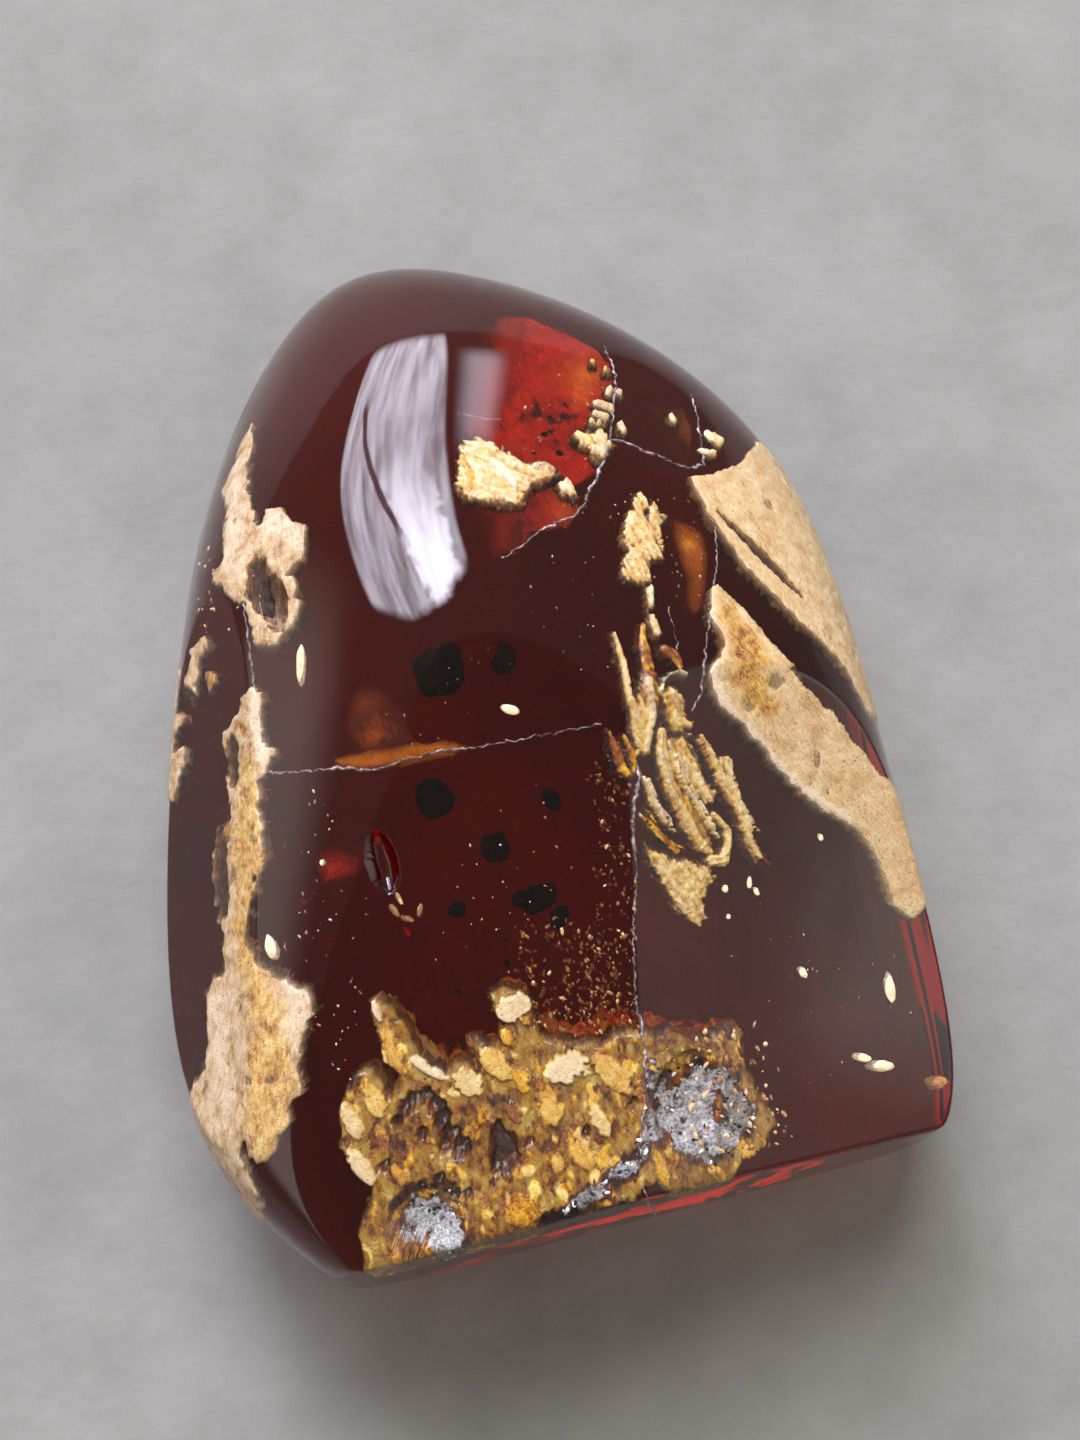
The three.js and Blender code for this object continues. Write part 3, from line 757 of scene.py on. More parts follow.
# Chip crust: pale crumbs of crust that line the healed chip on the dome, with small beads like teeth
# along its edge. Old dry resin, let into the polish the same way as the plume.
CHIP_DEPTH = 1.8
CRUMB_BED = [
    ([(4.0, 19.0), (4.9, 18.9), (6.0, 17.9), (7.0, 16.8), (7.8, 16.0), (8.8, 15.9), (9.7, 14.7), (9.0, 14.4),
      (7.8, 14.4), (7.0, 13.7), (6.5, 12.9), (5.7, 13.2), (4.8, 13.6), (3.6, 14.1), (2.5, 14.6), (2.4, 15.8),
      (3.0, 17.5)], 0.78, 0.42, 0.08),
    ([(9.5, 13.9), (10.1, 14.0), (10.5, 12.9), (10.2, 12.5), (9.4, 13.1)], 0.9, 0.3, 0.12),
    ([(12.0, 17.6), (13.1, 17.6), (13.9, 16.8), (14.2, 16.1), (13.2, 15.2), (12.4, 15.3), (12.7, 16.2),
      (11.8, 16.6)], 0.75, 0.45, 0.02),
]
CRUMBS = [
    ([(8.2, 15.5, 0.3), (8.9, 15.3, 0.42), (9.4, 14.8, 0.2)], 0.5, 0.0, 0.14),
    ([(5.4, 16.6, 0.3), (6.2, 15.2, 0.5), (6.4, 14.2, 0.3)], 0.98, 0.1, 0.16),
    ([(3.4, 17.6, 0.3), (3.6, 15.9, 0.4), (3.2, 14.9, 0.3)], 0.6, 0.8, 0.08),
    ([(16.0, 25.4, 0.22), (15.9, 25.2, 0.22)], 0.9, 0.1, 0.12), ([(14.8, 23.4, 0.14),
                                                                  (14.9, 23.3, 0.14)], 0.8, 0.5, 0.1),
    ([(15.6, 22.6, 0.18), (15.7, 22.5, 0.15)], 0.8, 0.4, 0.1), ([(15.3, 20.6, 0.32), (15.2, 20.5, 0.3)],
                                                                0.95, 0.1, 0.2),
    ([(15.9, 20.4, 0.2), (16.0, 20.3, 0.2)], 0.95, 0.1, 0.18), ([(14.1, 19.6, 0.22),
                                                                 (14.9, 19.1, 0.26)], 0.9, 0.2, 0.2),
    ([(13.6, 18.8, 0.2), (14.4, 18.3, 0.22)], 0.9, 0.2, 0.18), ([(13.1, 18.2, 0.16), (13.7, 17.9, 0.2)],
                                                                0.8, 0.3, 0.16),
    ([(11.9, 17.3, 0.3), (12.5, 16.7, 0.36)], 0.78, 0.55, 0.12), ([(13.5, 17.1, 0.3),
                                                                   (13.7, 16.7, 0.32)], 0.85, 0.3, 0.16),
    ([(12.7, 15.7, 0.29), (13.2, 15.5, 0.29)], 0.9, 0.15, 0.14), ([(15.2, 17.6, 0.2),
                                                                   (15.3, 17.0, 0.24)], 0.9, 0.25, 0.14),
    ([(19.2, 17.8, 0.2), (19.3, 17.4, 0.2)], 0.9, 0.2, 0.08), ([(21.8, 15.6, 0.28), (22.1, 15.0, 0.3)],
                                                               0.85, 0.3, 0.14),
    ([(20.8, 14.3, 0.2), (21.3, 14.1, 0.2)], 0.8, 0.4, 0.12),
]
chip = start_inlay("chip_crumbs", strands_shape(CRUMBS, 0.2, CRUMB_BED, (0.8, -0.6)), CHIP_DEPTH, 0.1, 0.25, 1.2)
chip.data.materials.append(crust_material("pale crumb", 0.4, 0.4, 0.35))
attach(chip, "root")
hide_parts("chip_crust")


# Foot matrix: golden stuff of grains, husks and broken shell that fills the sawn foot of the lump,
# glazed by the polish, with dark holes in it and two open pockets lined with small bright crystals.
MATRIX_DEPTH = 7.5
FOOT_TOP = [
    (-18.4, -35.1), (-18.2, -33.2), (-17.2, -31.8), (-16.4, -30.2), (-17.2, -28.8), (-17.8, -27.1),
    (-17.1, -24.3), (-16.5, -23.7), (-15.4, -22.2), (-14.4, -22.5), (-14.0, -24.1), (-13.7, -24.9),
    (-13.1, -24.3), (-12.6, -23.6), (-13.2, -22.1), (-13.2, -20.3), (-13.2, -18.8), (-13.1, -17.4),
    (-12.7, -17.3), (-12.5, -18.4), (-11.9, -18.9), (-11.3, -20.6), (-11.0, -22.0), (-10.0, -23.4),
    (-9.5, -24.2), (-8.6, -23.6), (-7.8, -23.9), (-7.4, -24.8), (-7.0, -24.0), (-7.4, -22.7),
    (-7.2, -22.4), (-6.3, -22.9), (-5.3, -23.3), (-5.0, -22.1), (-4.3, -22.1), (-5.0, -21.0),
    (-5.2, -20.1), (-4.6, -19.5), (-2.8, -20.2), (-2.5, -21.2), (-2.8, -22.3), (-2.5, -23.4),
    (-1.6, -24.2), (0.0, -24.8), (1.3, -25.1), (2.4, -24.7), (3.9, -25.0), (5.1, -25.6), (6.2, -25.6),
    (7.4, -26.6), (8.7, -26.8), (9.7, -26.5), (10.5, -26.4), (11.0, -27.2), (10.6, -29.2),
    (11.2, -31.7), (11.7, -33.6), (10.6, -34.7), (8.6, -35.5), (7.2, -36.6), (5.8, -37.5), (3.3, -36.4),
    (2.4, -35.1), (1.2, -35.4), (-0.3, -36.7), (-2.1, -37.8), (-3.8, -38.4),
    (-3.8, -42), (-18.4, -42),
]
FOOT_END = [(-24, 40), (-21, 19), (-17.5, 14.5), (-12, 16.5), (-7, 12.5), (-1, 15), (5, 17.5), (11, 16),
            (15, 21), (16, 40)]
# Husks and seeds: place from above, half length and half width in mm, lean, light, gold, lift
HUSKS = [
    (-3.7, -20.9, 1.4, 0.85, -1.3, 0.92, 0.25, 0.22), (-1.4, -25.8, 1.5, 0.95, -1.4, 0.95, 0.2, 0.25),
    (-8.1, -24.9, 1.1, 0.85, 0.5, 0.85, 0.45, 0.18), (-10.4, -23.2, 1.5, 0.45, 0.75, 0.9, 0.2, 0.2),
    (-16.5, -25.2, 1.5, 0.55, 0.2, 0.82, 0.35, 0.15), (-16.7, -28.4, 1.5, 0.6, 0.35, 0.9, 0.25, 0.18),
    (-12.9, -18.3, 1.1, 0.26, 0.15, 0.98, 0.0, 0.15), (-12.5, -21.4, 1.5, 0.6, 0.1, 0.62, 0.8, 0.1),
    (-6.0, -24.2, 1.6, 0.75, 0.5, 0.72, 0.75, 0.12), (-4.9, -22.6, 0.7, 0.5, 0.2, 0.66, 1.0, 0.1),
    (-4.6, -25.9, 0.9, 0.5, 0.1, 0.66, 1.0, 0.1), (-0.2, -29.8, 1.3, 0.5, 0.2, 0.85, 0.5, 0.15),
    (1.5, -27.1, 1.7, 0.8, 0.5, 0.7, 0.7, 0.16), (-7.0, -34.3, 1.35, 1.0, 1.5, 0.52, 1.0, 0.12),
    (-3.2, -28.2, 1.2, 0.8, 0.1, 0.68, 0.8, 0.12), (-14.6, -24.4, 1.3, 0.7, 0.2, 0.7, 0.75, 0.14),
    (-2.0, -31.8, 1.2, 0.7, 0.4, 0.64, 0.8, 0.12), (-2.2, -22.5, 0.3, 0.3, 0.0, 0.9, 0.5, 0.12),
]
HOLES = [
    (-12.8, -25.4, 0.5), (-12.0, -25.1, 0.55), (-11.2, -25.2, 0.6), (-10.7, -26.0, 0.7), (-10.6, -27.0, 0.65),
    (-10.3, -28.1, 0.7), (-9.9, -29.2, 0.65), (-10.9, -28.8, 0.5), (-7.1, -28.9, 0.6), (-7.0, -29.9, 0.95),
    (-7.4, -30.9, 0.8), (-6.6, -30.6, 0.5), (-12.2, -27.5, 0.35), (-13.6, -26.3, 0.36), (-15.3, -29.0, 0.4),
    (-2.0, -26.9, 0.36), (-1.3, -30.5, 0.29), (-5.4, -35.8, 0.7), (-3.9, -35.9, 0.8), (-2.4, -36.5, 0.6),
    (-5.2, -30.0, 0.25), (2.2, -29.6, 0.3),
]
SILVER_BAND = [(-4.5, -35.4, 0.4), (-2.9, -34.9, 0.65), (-0.5, -34.0, 0.72), (2.2, -32.9, 0.58)]
SILVER_PATCH = [(3.6, -27.4), (4.6, -27.8), (5.6, -28.6), (6.7, -27.9), (7.9, -27.7), (9.5, -28.5),
                (10.2, -29.3),
                (10.1, -31.2), (10.7, -32.1), (9.9, -33.6), (8.4, -34.3), (7.6, -35.1), (5.9, -35.0),
                (5.0, -34.2),
                (4.1, -33.4), (3.1, -32.5), (1.9, -32.8), (2.2, -30.8), (3.4, -29.7), (3.2, -28.3)]
SILVER_POOL = [(-14.8, -31.9), (-13.8, -31.3), (-12.5, -31.4), (-11.5, -32.2), (-10.9, -33.7), (-11.1, -35.4),
               (-12.6, -36.6), (-13.6, -36.5), (-13.5, -35.1), (-13.7, -34.1), (-14.6, -34.4), (-15.2, -33.9),
               (-15.4, -32.8)]
DARK_SUNK_RINGS = [[(-15.9, -32.6, 0.4), (-15.6, -33.8, 0.55), (-14.6, -34.6, 0.5)],
               [(-15.2, -31.4, 0.3), (-13.6, -30.6, 0.35), (-11.8, -30.9, 0.3), (-10.4, -32.4, 0.3)],
               [(-5.4, -35.8, 0.6), (-3.4, -36.4, 0.7), (1.2, -36.6, 0.7)]]
ORANGE_GLOWS = [[(3.8, -33.8, 0.5), (4.1, -34.3, 0.4)], [(7.4, -35.0, 0.5), (7.6, -35.2, 0.5)],
                [(8.0, -31.0, 0.3), (8.0, -31.8, 0.4)], [(7.3, -26.6, 0.5), (8.4, -26.8, 0.55),
                                                         (9.3, -27.4, 0.4)],
                [(5.0, -26.1, 0.6), (5.9, -26.2, 0.6)], [(-12.2, -27.6, 0.7), (-13.6, -26.6, 0.5)],
                [(-8.6, -26.8, 0.8), (-8.0, -28.2, 0.6)], [(-6.2, -29.6, 0.4), (-6.0, -31, 0.5)],
                [(-15.6, -35.4, 0.6), (-14.4, -36.4, 0.5)], [(-9.6, -35.4, 0.6), (-8.4, -35.8, 0.6)]]


def on_stone(x, y):
    """The place on the polished top straight above x and y."""
    z = 26.0
    for _ in range(25):
        gap = np.array([x, y, z]) - HEART
        far = np.linalg.norm(gap)
        z += (stone_radius(gap[None] / far)[0] - far) * 0.9
    return np.array([x, y, z])


random.seed(31)
grains = []
for _ in range(760):
    x, y = random.uniform(-19, 12), random.uniform(-38.5, -17)
    if inside_outline(np.array([[x, y]]), FOOT_TOP)[0] > -0.2:
        spot = on_stone(x, max(y, -36.6))
        if y < -36.6:
            spot[1:] = (-37.3, random.uniform(13, 27))
        size = random.choice((0.14, 0.2, 0.3, 0.45))
        grains.append((spot, size * random.uniform(1.2, 2.4), size, random.gauss(0.15, 0.4),
                       random.choice((0.2, 0.35, 0.5, 0.6, 0.7, 0.9)), random.uniform(0.6, 1.0),
                       random.uniform(-0.12, 0.08)))
grains += [(on_stone(x, y), *rest) for x, y, *rest in HUSKS]


def foot_shape(points, pit, coarse):
    inside = np.minimum(inside_outline(points[:, :2], FOOT_TOP), inside_outline(points[:, (0, 2)], FOOT_END))
    inside = ragged(points, inside, coarse, 0.9, 0.3)
    if coarse:
        return inside, None, None
    husky = np.stack([points[:, 0], points[:, 1] * 0.4, points[:, 2]], 1)
    top = -0.06 + 0.14 * wander(points, 0.9, 51) + 0.12 * wander(husky, 0.3, 55)
    tone = 0.62 + 0.3 * wander(points, 1.4, 53) + 0.3 * wander(husky, 0.4, 57)
    gold = 0.95 - 0.25 * step(wander(points, 0.8, 58), 0.1, 0.5)
    wobble = 0.5 * wander(points, 0.4, 59)
    for spot, long, wide, lean, light, golden, lift in grains:
        gap = points - spot + np.stack([wobble, -wobble, wobble], 1) * wide
        along = gap[:, 0] * -math.sin(lean) + gap[:, 1] * math.cos(lean)
        beside = gap[:, 0] * math.cos(lean) + gap[:, 1] * math.sin(lean)
        away = np.sqrt((along / long) ** 2 + (beside / wide) ** 2 + (gap[:, 2] / long) ** 2)
        height = lift + 0.3 * wide * np.sqrt(np.clip(1 - away ** 2, 0, 1)) - 0.08
        over = (away < 1) & (height > top)
        top = np.where(over, height, top)
        # Painted shade: each grain is coloured darker at its rim, as a round grain is shaded.
        tone = np.where(over, light - 0.15 * step(away, 0.75, 1.0), tone)
        gold = np.where(over, golden, gold)
    frayed = points + 0.4 * wander(points, 0.7, 63)[:, None] + 0.2 * wander(points, 0.25, 65)[:, None]
    orange = near_strands(frayed, ORANGE_GLOWS, 0.35)
    tone = tone * (1 - orange) + (0.42 + 0.25 * wander(points, 0.4, 67)) * orange
    gold = np.maximum(gold, orange)
    # Rings and holes in the matrix, sunk and coloured dark.
    darkened = near_strands(frayed, DARK_SUNK_RINGS, 0.2)
    for x, y, size in HOLES:
        darkened = np.maximum(darkened, step(size - np.hypot(frayed[:, 0] - x, frayed[:, 1] - y), -0.2, 0.3))
    top = top - darkened * 0.7
    tone = tone * (1 - darkened) + (0.08 + 0.12 * wander(points, 0.3, 69)) * darkened
    gold = np.maximum(gold, darkened)
    silver = np.maximum(near_strands(frayed, [SILVER_BAND], 0.3) * 0.5,
                        step(inside_outline(frayed[:, :2], SILVER_PATCH), -0.6, 0.9) * 0.56)
    silver = np.maximum(silver, step(inside_outline(frayed[:, :2], SILVER_POOL), -0.4, 0.5) * 0.64)
    patchy = 0.2 * wander(points, 0.5, 73) * (silver > 0.1)
    silver = silver * (1 - 0.8 * near_strands(frayed, ORANGE_GLOWS[:3], 0.3)) + patchy
    tone = tone * (1 - 0.7 * step(silver, 0.05, 0.35))
    pocket = (pit == 3) | (pit == 4)
    top = np.where(pocket, 0.05 + 0.25 * wander(points, 0.5, 71), top)
    top = np.minimum(top, 0.22) - 1.0 * np.clip(0.15 - inside, 0, None)
    return inside, top, {"tone": tone, "gold": gold, "silver": silver}


matrix = start_inlay("foot_filling", foot_shape, MATRIX_DEPTH, 0.12, 0.3, 4.0)
matrix.data.materials.append(crust_material("golden matrix", 0.1, 0.5, 0.6))
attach(matrix, "root")
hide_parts("foot_matrix")


# Healed cracks and rims: thin white seams where cracks closed again, and pale lines on the rims where two flats
# of the polish meet, their lavender white a painted highlight. Each is drawn from above with its half widths in
# mm.
SEAMS = {
    # Painted highlight: the pale line along the rim between the front and right flats, over a healed crack.
    "ridge": [(9.8, -4.4, 0.16), (9.5, -5.7, 0.14), (9.0, -7.0, 0.19), (8.9, -8.3, 0.22),
        (8.0, -9.9, 0.19), (7.4, -11.9, 0.16), (6.9, -14.5, 0.13), (5.7, -17.7, 0.11),
        (5.0, -20.3, 0.12), (4.4, -23.0, 0.14), (4.4, -24.4, 0.25), (4.1, -26.1, 0.22),
        (3.6, -28.4, 0.14), (2.3, -31.5, 0.12), (1.4, -34.1, 0.11), (1.5, -36.2, 0.11),
        (2.5, -37.8, 0.1)],
    "ledge": [(-16.3, -0.3, 0.11), (-13.4, -1.2, 0.11), (-10.3, -2.0, 0.19), (-8.6, -2.8, 0.16),
        (-6.5, -2.7, 0.1), (-3.7, -2.8, 0.12), (-1.0, -3.3, 0.08), (3.2, -3.7, 0.07),
        (7.4, -4.1, 0.07)],
    "chip_edge": [(16.2, 24.8, 0.12), (16.3, 23.0, 0.12), (16.0, 21.2, 0.14), (15.2, 19.2, 0.13),
        (14.0, 16.3, 0.22), (13.2, 15.0, 0.17), (12.5, 14.1, 0.22), (11.6, 13.0, 0.19),
        (10.7, 11.8, 0.16), (10.0, 11.2, 0.12), (8.2, 10.9, 0.11), (6.9, 10.5, 0.09), (5.6, 9.8, 0.09),
        (4.0, 9.2, 0.08)],
    "window_top": [(14.2, 16.6, 0.24), (15.0, 16.3, 0.19), (16.1, 15.3, 0.2), (17.2, 14.7, 0.19),
        (18.3, 13.7, 0.17), (19.2, 13.2, 0.16), (20.2, 13.4, 0.22)],
    "facet_crack": [(21.4, 19.7, 0.1), (21.2, 17.5, 0.12), (20.7, 15.2, 0.14), (20.4, 13.4, 0.17)],
    "window_right": [(19.6, 8.6, 0.07), (18.8, 5.5, 0.07), (17.4, 2.6, 0.09), (16.2, -0.3, 0.12),
        (15.6, -1.7, 0.14), (14.7, -3.7, 0.12), (13.7, -4.8, 0.09)],
    "left_edge": [(-13.9, 13.0, 0.12), (-14.5, 11.5, 0.1), (-14.7, 9.1, 0.11), (-15.1, 6.2, 0.12),
        (-15.4, 3.2, 0.12), (-15.8, 1.1, 0.14), (-16.1, -0.5, 0.14)],
    "left_low": [(-15.9, 4.9, 0.13), (-16.0, 2.7, 0.14), (-16.3, -0.2, 0.14), (-17.4, -2.1, 0.14),
        (-18.4, -4.7, 0.12), (-19.6, -7.3, 0.14), (-20.6, -9.1, 0.16), (-21.5, -11.0, 0.14),
        (-21.7, -12.8, 0.13)],
    "left_thin": [(-19.9, -4.9, 0.07), (-20.4, -6.2, 0.07), (-20.3, -7.8, 0.09), (-20.5, -8.8, 0.07)],
    "scratch_a": [(4.0, 21.4, 0.06), (5.2, 20.6, 0.05), (6.9, 19.9, 0.04)],
    "fibre_hair": [(14.3, 2.8, 0.06), (14.1, 0.2, 0.07), (13.7, -1.4, 0.06)],
}
SEAM_SINK = 0.03
SEAM_STEP = 0.22


def along_strand(strand, spacing):
    """Points every so often along a strand, with the width there."""
    rows = []
    for (x0, y0, w0), (x1, y1, w1) in zip(strand[:-1], strand[1:]):
        count = max(1, int(math.hypot(x1 - x0, y1 - y0) / spacing))
        rows += [(x0 + (x1 - x0) * k / count, y0 + (y1 - y0) * k / count, w0 + (w1 - w0) * k / count)
                 for k in range(count)]
    return rows + [strand[-1]]


def start_seams(name, strands, sink, spacing, jitter, rough):
    """Thin round seams laid along the polish, one closed tube for each strand."""
    line = bpy.data.curves.new(name, "CURVE")
    line.dimensions = "3D"
    line.bevel_depth = 1
    line.bevel_resolution = 0
    line.use_fill_caps = True
    for strand in strands:
        rows = along_strand(strand, spacing)
        spline = line.splines.new("POLY")
        spline.points.add(len(rows) - 1)
        for point, (x, y, width) in zip(spline.points, rows):
            spot = on_stone(x + random.gauss(0, jitter), y + random.gauss(0, jitter))
            spot = spot - unit(spot - HEART) * (sink + width * 0.6) + TO_MIDDLE
            point.co = (*(spot * MM), 1)
            point.radius = max(0.03, width * 0.72 * (1 + random.uniform(-rough, rough))) * MM
    piece = bpy.data.objects.new(name, line)
    bpy.context.scene.collection.objects.link(piece)
    bpy.ops.object.select_all(action="DESELECT")
    piece.select_set(True)
    bpy.context.view_layer.objects.active = piece
    bpy.ops.object.convert(target="MESH")
    piece = start_piece(name)
    bpy.ops.object.mode_set(mode="EDIT")
    bpy.ops.mesh.select_all(action="SELECT")
    bpy.ops.mesh.remove_doubles(threshold=0.000001)
    bpy.ops.mesh.normals_make_consistent(inside=False)
    bpy.ops.object.mode_set(mode="OBJECT")
    bpy.ops.object.shade_smooth()
    return piece


def speckled_material(name, dark, middle, light, size, gloss, clear=0.0):
    """Small bright and dark specks, as in a healed crack, a grain or a husk."""
    material, place, output = new_material(name)
    specks = place.noise(size, 3, 0.6)
    cloud = place.noise(size * 0.25, 3)
    tone = specks * 0.6 + cloud * 0.4
    finish_surface(place, output, {
        "Base Color": tone.ramp((0.38, dark), (0.5, middle), (0.62, light)),
        "Roughness": specks * 0.3 + gloss,
        "Specular IOR Level": 0.5,
        "Coat Weight": clear,
        "Normal": specks.bump(0.0002, 0.5),
    })
    return material


random.seed(7)
seams = start_seams("pale_seams", SEAMS.values(), SEAM_SINK, SEAM_STEP, 0.06, 0.55)
seams.data.materials.append(speckled_material("pale seam and painted rim highlight", (0.1, 0.05, 0.05), (0.36, 0.29, 0.3),
                                              (0.8, 0.75, 0.8), 2600, 0.15))
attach(seams, "root")


# Grains in the resin: husk flecks on the right facet, crumbs beside the tuft, and the fine gold dust
# that hangs just under the polish along the ridge and above the foot. Fixed in the resin all round.
LOOSE_FLECKS = [
    # x, y, half length, half width, lean, depth of its middle, light
    (16.4, -23.9, 0.5, 0.3, 0.4, 0.05, 0.9), (22.3, -26.5, 1.15, 0.42, -0.1, 0.05, 0.95),
    (18.9, -30.7, 0.75, 0.3, 1.1, 0.04, 0.9), (20.0, -31.6, 1.15, 0.4, 1.25, 0.04, 0.95),
    (14.4, -17.0, 0.45, 0.2, -0.3, 0.02, 1.0), (14.7, -17.7, 0.35, 0.2, 0.3, 0.02, 1.0),
    (20.3, -15.2, 0.3, 0.22, 0.2, 0.04, 0.8), (12.6, -17.0, 0.28, 0.25, 0.0, 0.03, 0.9),
    (12.3, -18.9, 0.2, 0.18, 0.0, 0.03, 0.9), (-18.7, -12.4, 1.0, 0.5, 0.1, 0.1, 0.85),
    (-11.5, 6.1, 1.5, 0.38, -0.25, 0.08, 0.8), (1.6, -1.4, 0.7, 0.35, 1.0, 0.08, 0.95),
    (-13.7, -7.8, 0.25, 0.25, 0.0, 0.1, 0.9), (-9.9, -12.4, 0.55, 0.25, 0.4, 0.2, 0.4),
    (-9.2, -13.2, 0.5, 0.22, 1.0, 0.2, 0.35), (-8.2, -12.9, 0.5, 0.2, -0.5, 0.2, 0.4),
    (-9.3, -11.7, 0.5, 0.18, 0.2, 0.1, 0.6), (21.5, 15.6, 0.6, 0.4, 0.3, 0.05, 0.9),
    (20.6, 14.4, 0.5, 0.3, 1.2, 0.05, 0.8), (23.9, -34.0, 0.9, 0.5, 1.3, 0.3, 0.3),
]
DUST = [
    # outline from above, how many, largest size, deepest, how light
    ([(7.6, -4.5), (9.6, -5.5), (8.6, -9), (7.2, -12), (6.8, -15), (5.4, -20), (4.2, -24.6), (-2, -24.2),
      (-0.5, -20), (3.4, -17), (4.8, -12), (5.8, -7)], 420, 0.13, 1.5, 0.5),
    ([(-3.6, -19.5), (-1.8, -16.4), (1.5, -16), (3.5, -19), (4, -24.5), (-2.4, -24), (-3, -21.5)],
     240, 0.16, 1.6, 0.45),
    ([(-16, -1), (-12.5, -2), (-11, -9), (-13, -18), (-16.5, -24), (-18.6, -17), (-17.6, -8)],
     90, 0.1, 0.3, 0.8),
    ([(5, -26), (12, -26), (13.5, -30), (13, -35), (9.5, -36), (6, -34)], 130, 0.2, 0.3, 0.7),
    ([(-8, 2), (-4, 5), (3, 4), (3, -1), (-5, -3)], 30, 0.07, 0.5, 0.8),
    ([(-4, -8), (2, -6), (4, -14), (-3, -19), (-9, -16)], 46, 0.08, 0.6, 0.75),
    ([(12, 11.5), (18, 12.5), (18.8, 7), (16.4, 0.5), (13, 3)], 60, 0.09, 0.6, 0.75),
    ([(7, -3), (11, 2), (11.5, 8), (14.5, 14), (8, 12), (4, 8)], 36, 0.07, 0.5, 0.8),
    ([(14, -18), (24, -22), (25, -30), (15, -33), (9, -24)], 60, 0.06, 0.3, 0.9),
    ([(-14, 9), (-12, 20), (-17, 19), (-18.5, 12)], 50, 0.12, 0.2, 0.75),
    ([(5, 12.5), (12, 12.5), (15.5, 20), (15, 25), (10, 22), (7, 18)], 70, 0.12, 1.0, 0.6),
]
bpy.ops.object.select_all(action="DESELECT")
bpy.ops.mesh.primitive_ico_sphere_add(subdivisions=2, radius=1)
grain = start_piece("grain_pattern")
round_places = places(grain.data)
round_faces = face_corners(grain.data)
bpy.data.objects.remove(grain)
bpy.ops.mesh.primitive_ico_sphere_add(subdivisions=1, radius=1)
speck = start_piece("speck_pattern")
speck_places = places(speck.data)
speck_faces = face_corners(speck.data)
bpy.data.objects.remove(speck)


def start_grains(name, rows, lumps=0.25, tiny=False):
    """Closed lumpy grains in one mesh. Each row: middle, half sizes, lean, tone."""
    spots, faces, tones = [], [], []
    grain_places, grain_faces = (speck_places, speck_faces) if tiny else (round_places, round_faces)
    for number, (middle, sizes, lean, tone) in enumerate(rows):
        lumpy = grain_places * (1 + lumps * wander(grain_places + number * 3.7, 0.8)[:, None])
        lumpy = lumpy * np.array(sizes)
        turned = np.stack([lumpy[:, 0] * math.cos(lean) - lumpy[:, 1] * math.sin(lean),
                           lumpy[:, 0] * math.sin(lean) + lumpy[:, 1] * math.cos(lean), lumpy[:, 2]], 1)
        faces.append(grain_faces + number * len(grain_places))
        spots.append(turned + middle)
        tones.append(np.full(len(grain_places), tone))
    mesh = bpy.data.meshes.new(name)
    mesh.from_pydata(((np.concatenate(spots) + TO_MIDDLE) * MM).tolist(), [], np.concatenate(faces).tolist())
    painted = mesh.attributes.new("tone", "FLOAT", "POINT")
    painted.data.foreach_set("value", np.concatenate(tones).astype(np.float32))
    piece = bpy.data.objects.new(name, mesh)
    bpy.context.scene.collection.objects.link(piece)
    bpy.context.view_layer.objects.active = piece
    return piece


def under_polish(x, y, depth):
    spot = on_stone(x, y)
    return spot - unit(spot - HEART) * depth


def grain_material(name, dark, gold, pale):
    material, place, output = new_material(name)
    tone = place.node("ShaderNodeAttribute", {"attribute_name": "tone"}, out="Fac")
    specks = place.noise(3000, 3, 0.6)
    tone = tone + (specks - 0.5) * 0.6
    finish_surface(place, output, {
        "Base Color": tone.ramp((0.15, dark), (0.5, gold), (0.85, pale)),
        "Roughness": specks * 0.3 + 0.15,
        "Coat Weight": 0.4,
        "Normal": specks.bump(0.0002, 0.5),
    })
    return material


random.seed(11)
flecks = [(under_polish(x, y, depth), (wide, long, wide * 0.5), lean, light)
          for x, y, long, wide, lean, depth, light in LOOSE_FLECKS]
flecks = start_grains("husk_flecks", flecks)
flecks.data.materials.append(grain_material("husk", (0.2, 0.05, 0.01), (0.55, 0.33, 0.12),
                                            (0.78, 0.64, 0.42)))
dust = []
for outline, count, largest, deepest, light in DUST:
    low, high = np.min(outline, 0), np.max(outline, 0)
    while count:
        x, y = random.uniform(low[0], high[0]), random.uniform(low[1], high[1])
        if inside_outline(np.array([[x, y]]), outline)[0] > 0:
            size = largest * random.uniform(0.3, 1) ** 1.5
            dust.append((under_polish(x, y, deepest * random.random() ** 1.5),
                         (size, size * random.uniform(1, 2.2), size),
                         random.gauss(0, 0.6), light + random.gauss(0, 0.15)))
            count -= 1
dust = start_grains("gold_dust", dust, tiny=True)
dust.data.materials.append(grain_material("gold dust", (0.1, 0.02, 0.004), (0.34, 0.13, 0.02),
                                          (0.7, 0.52, 0.3)))
for piece in (flecks, dust):
    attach(piece, "root")


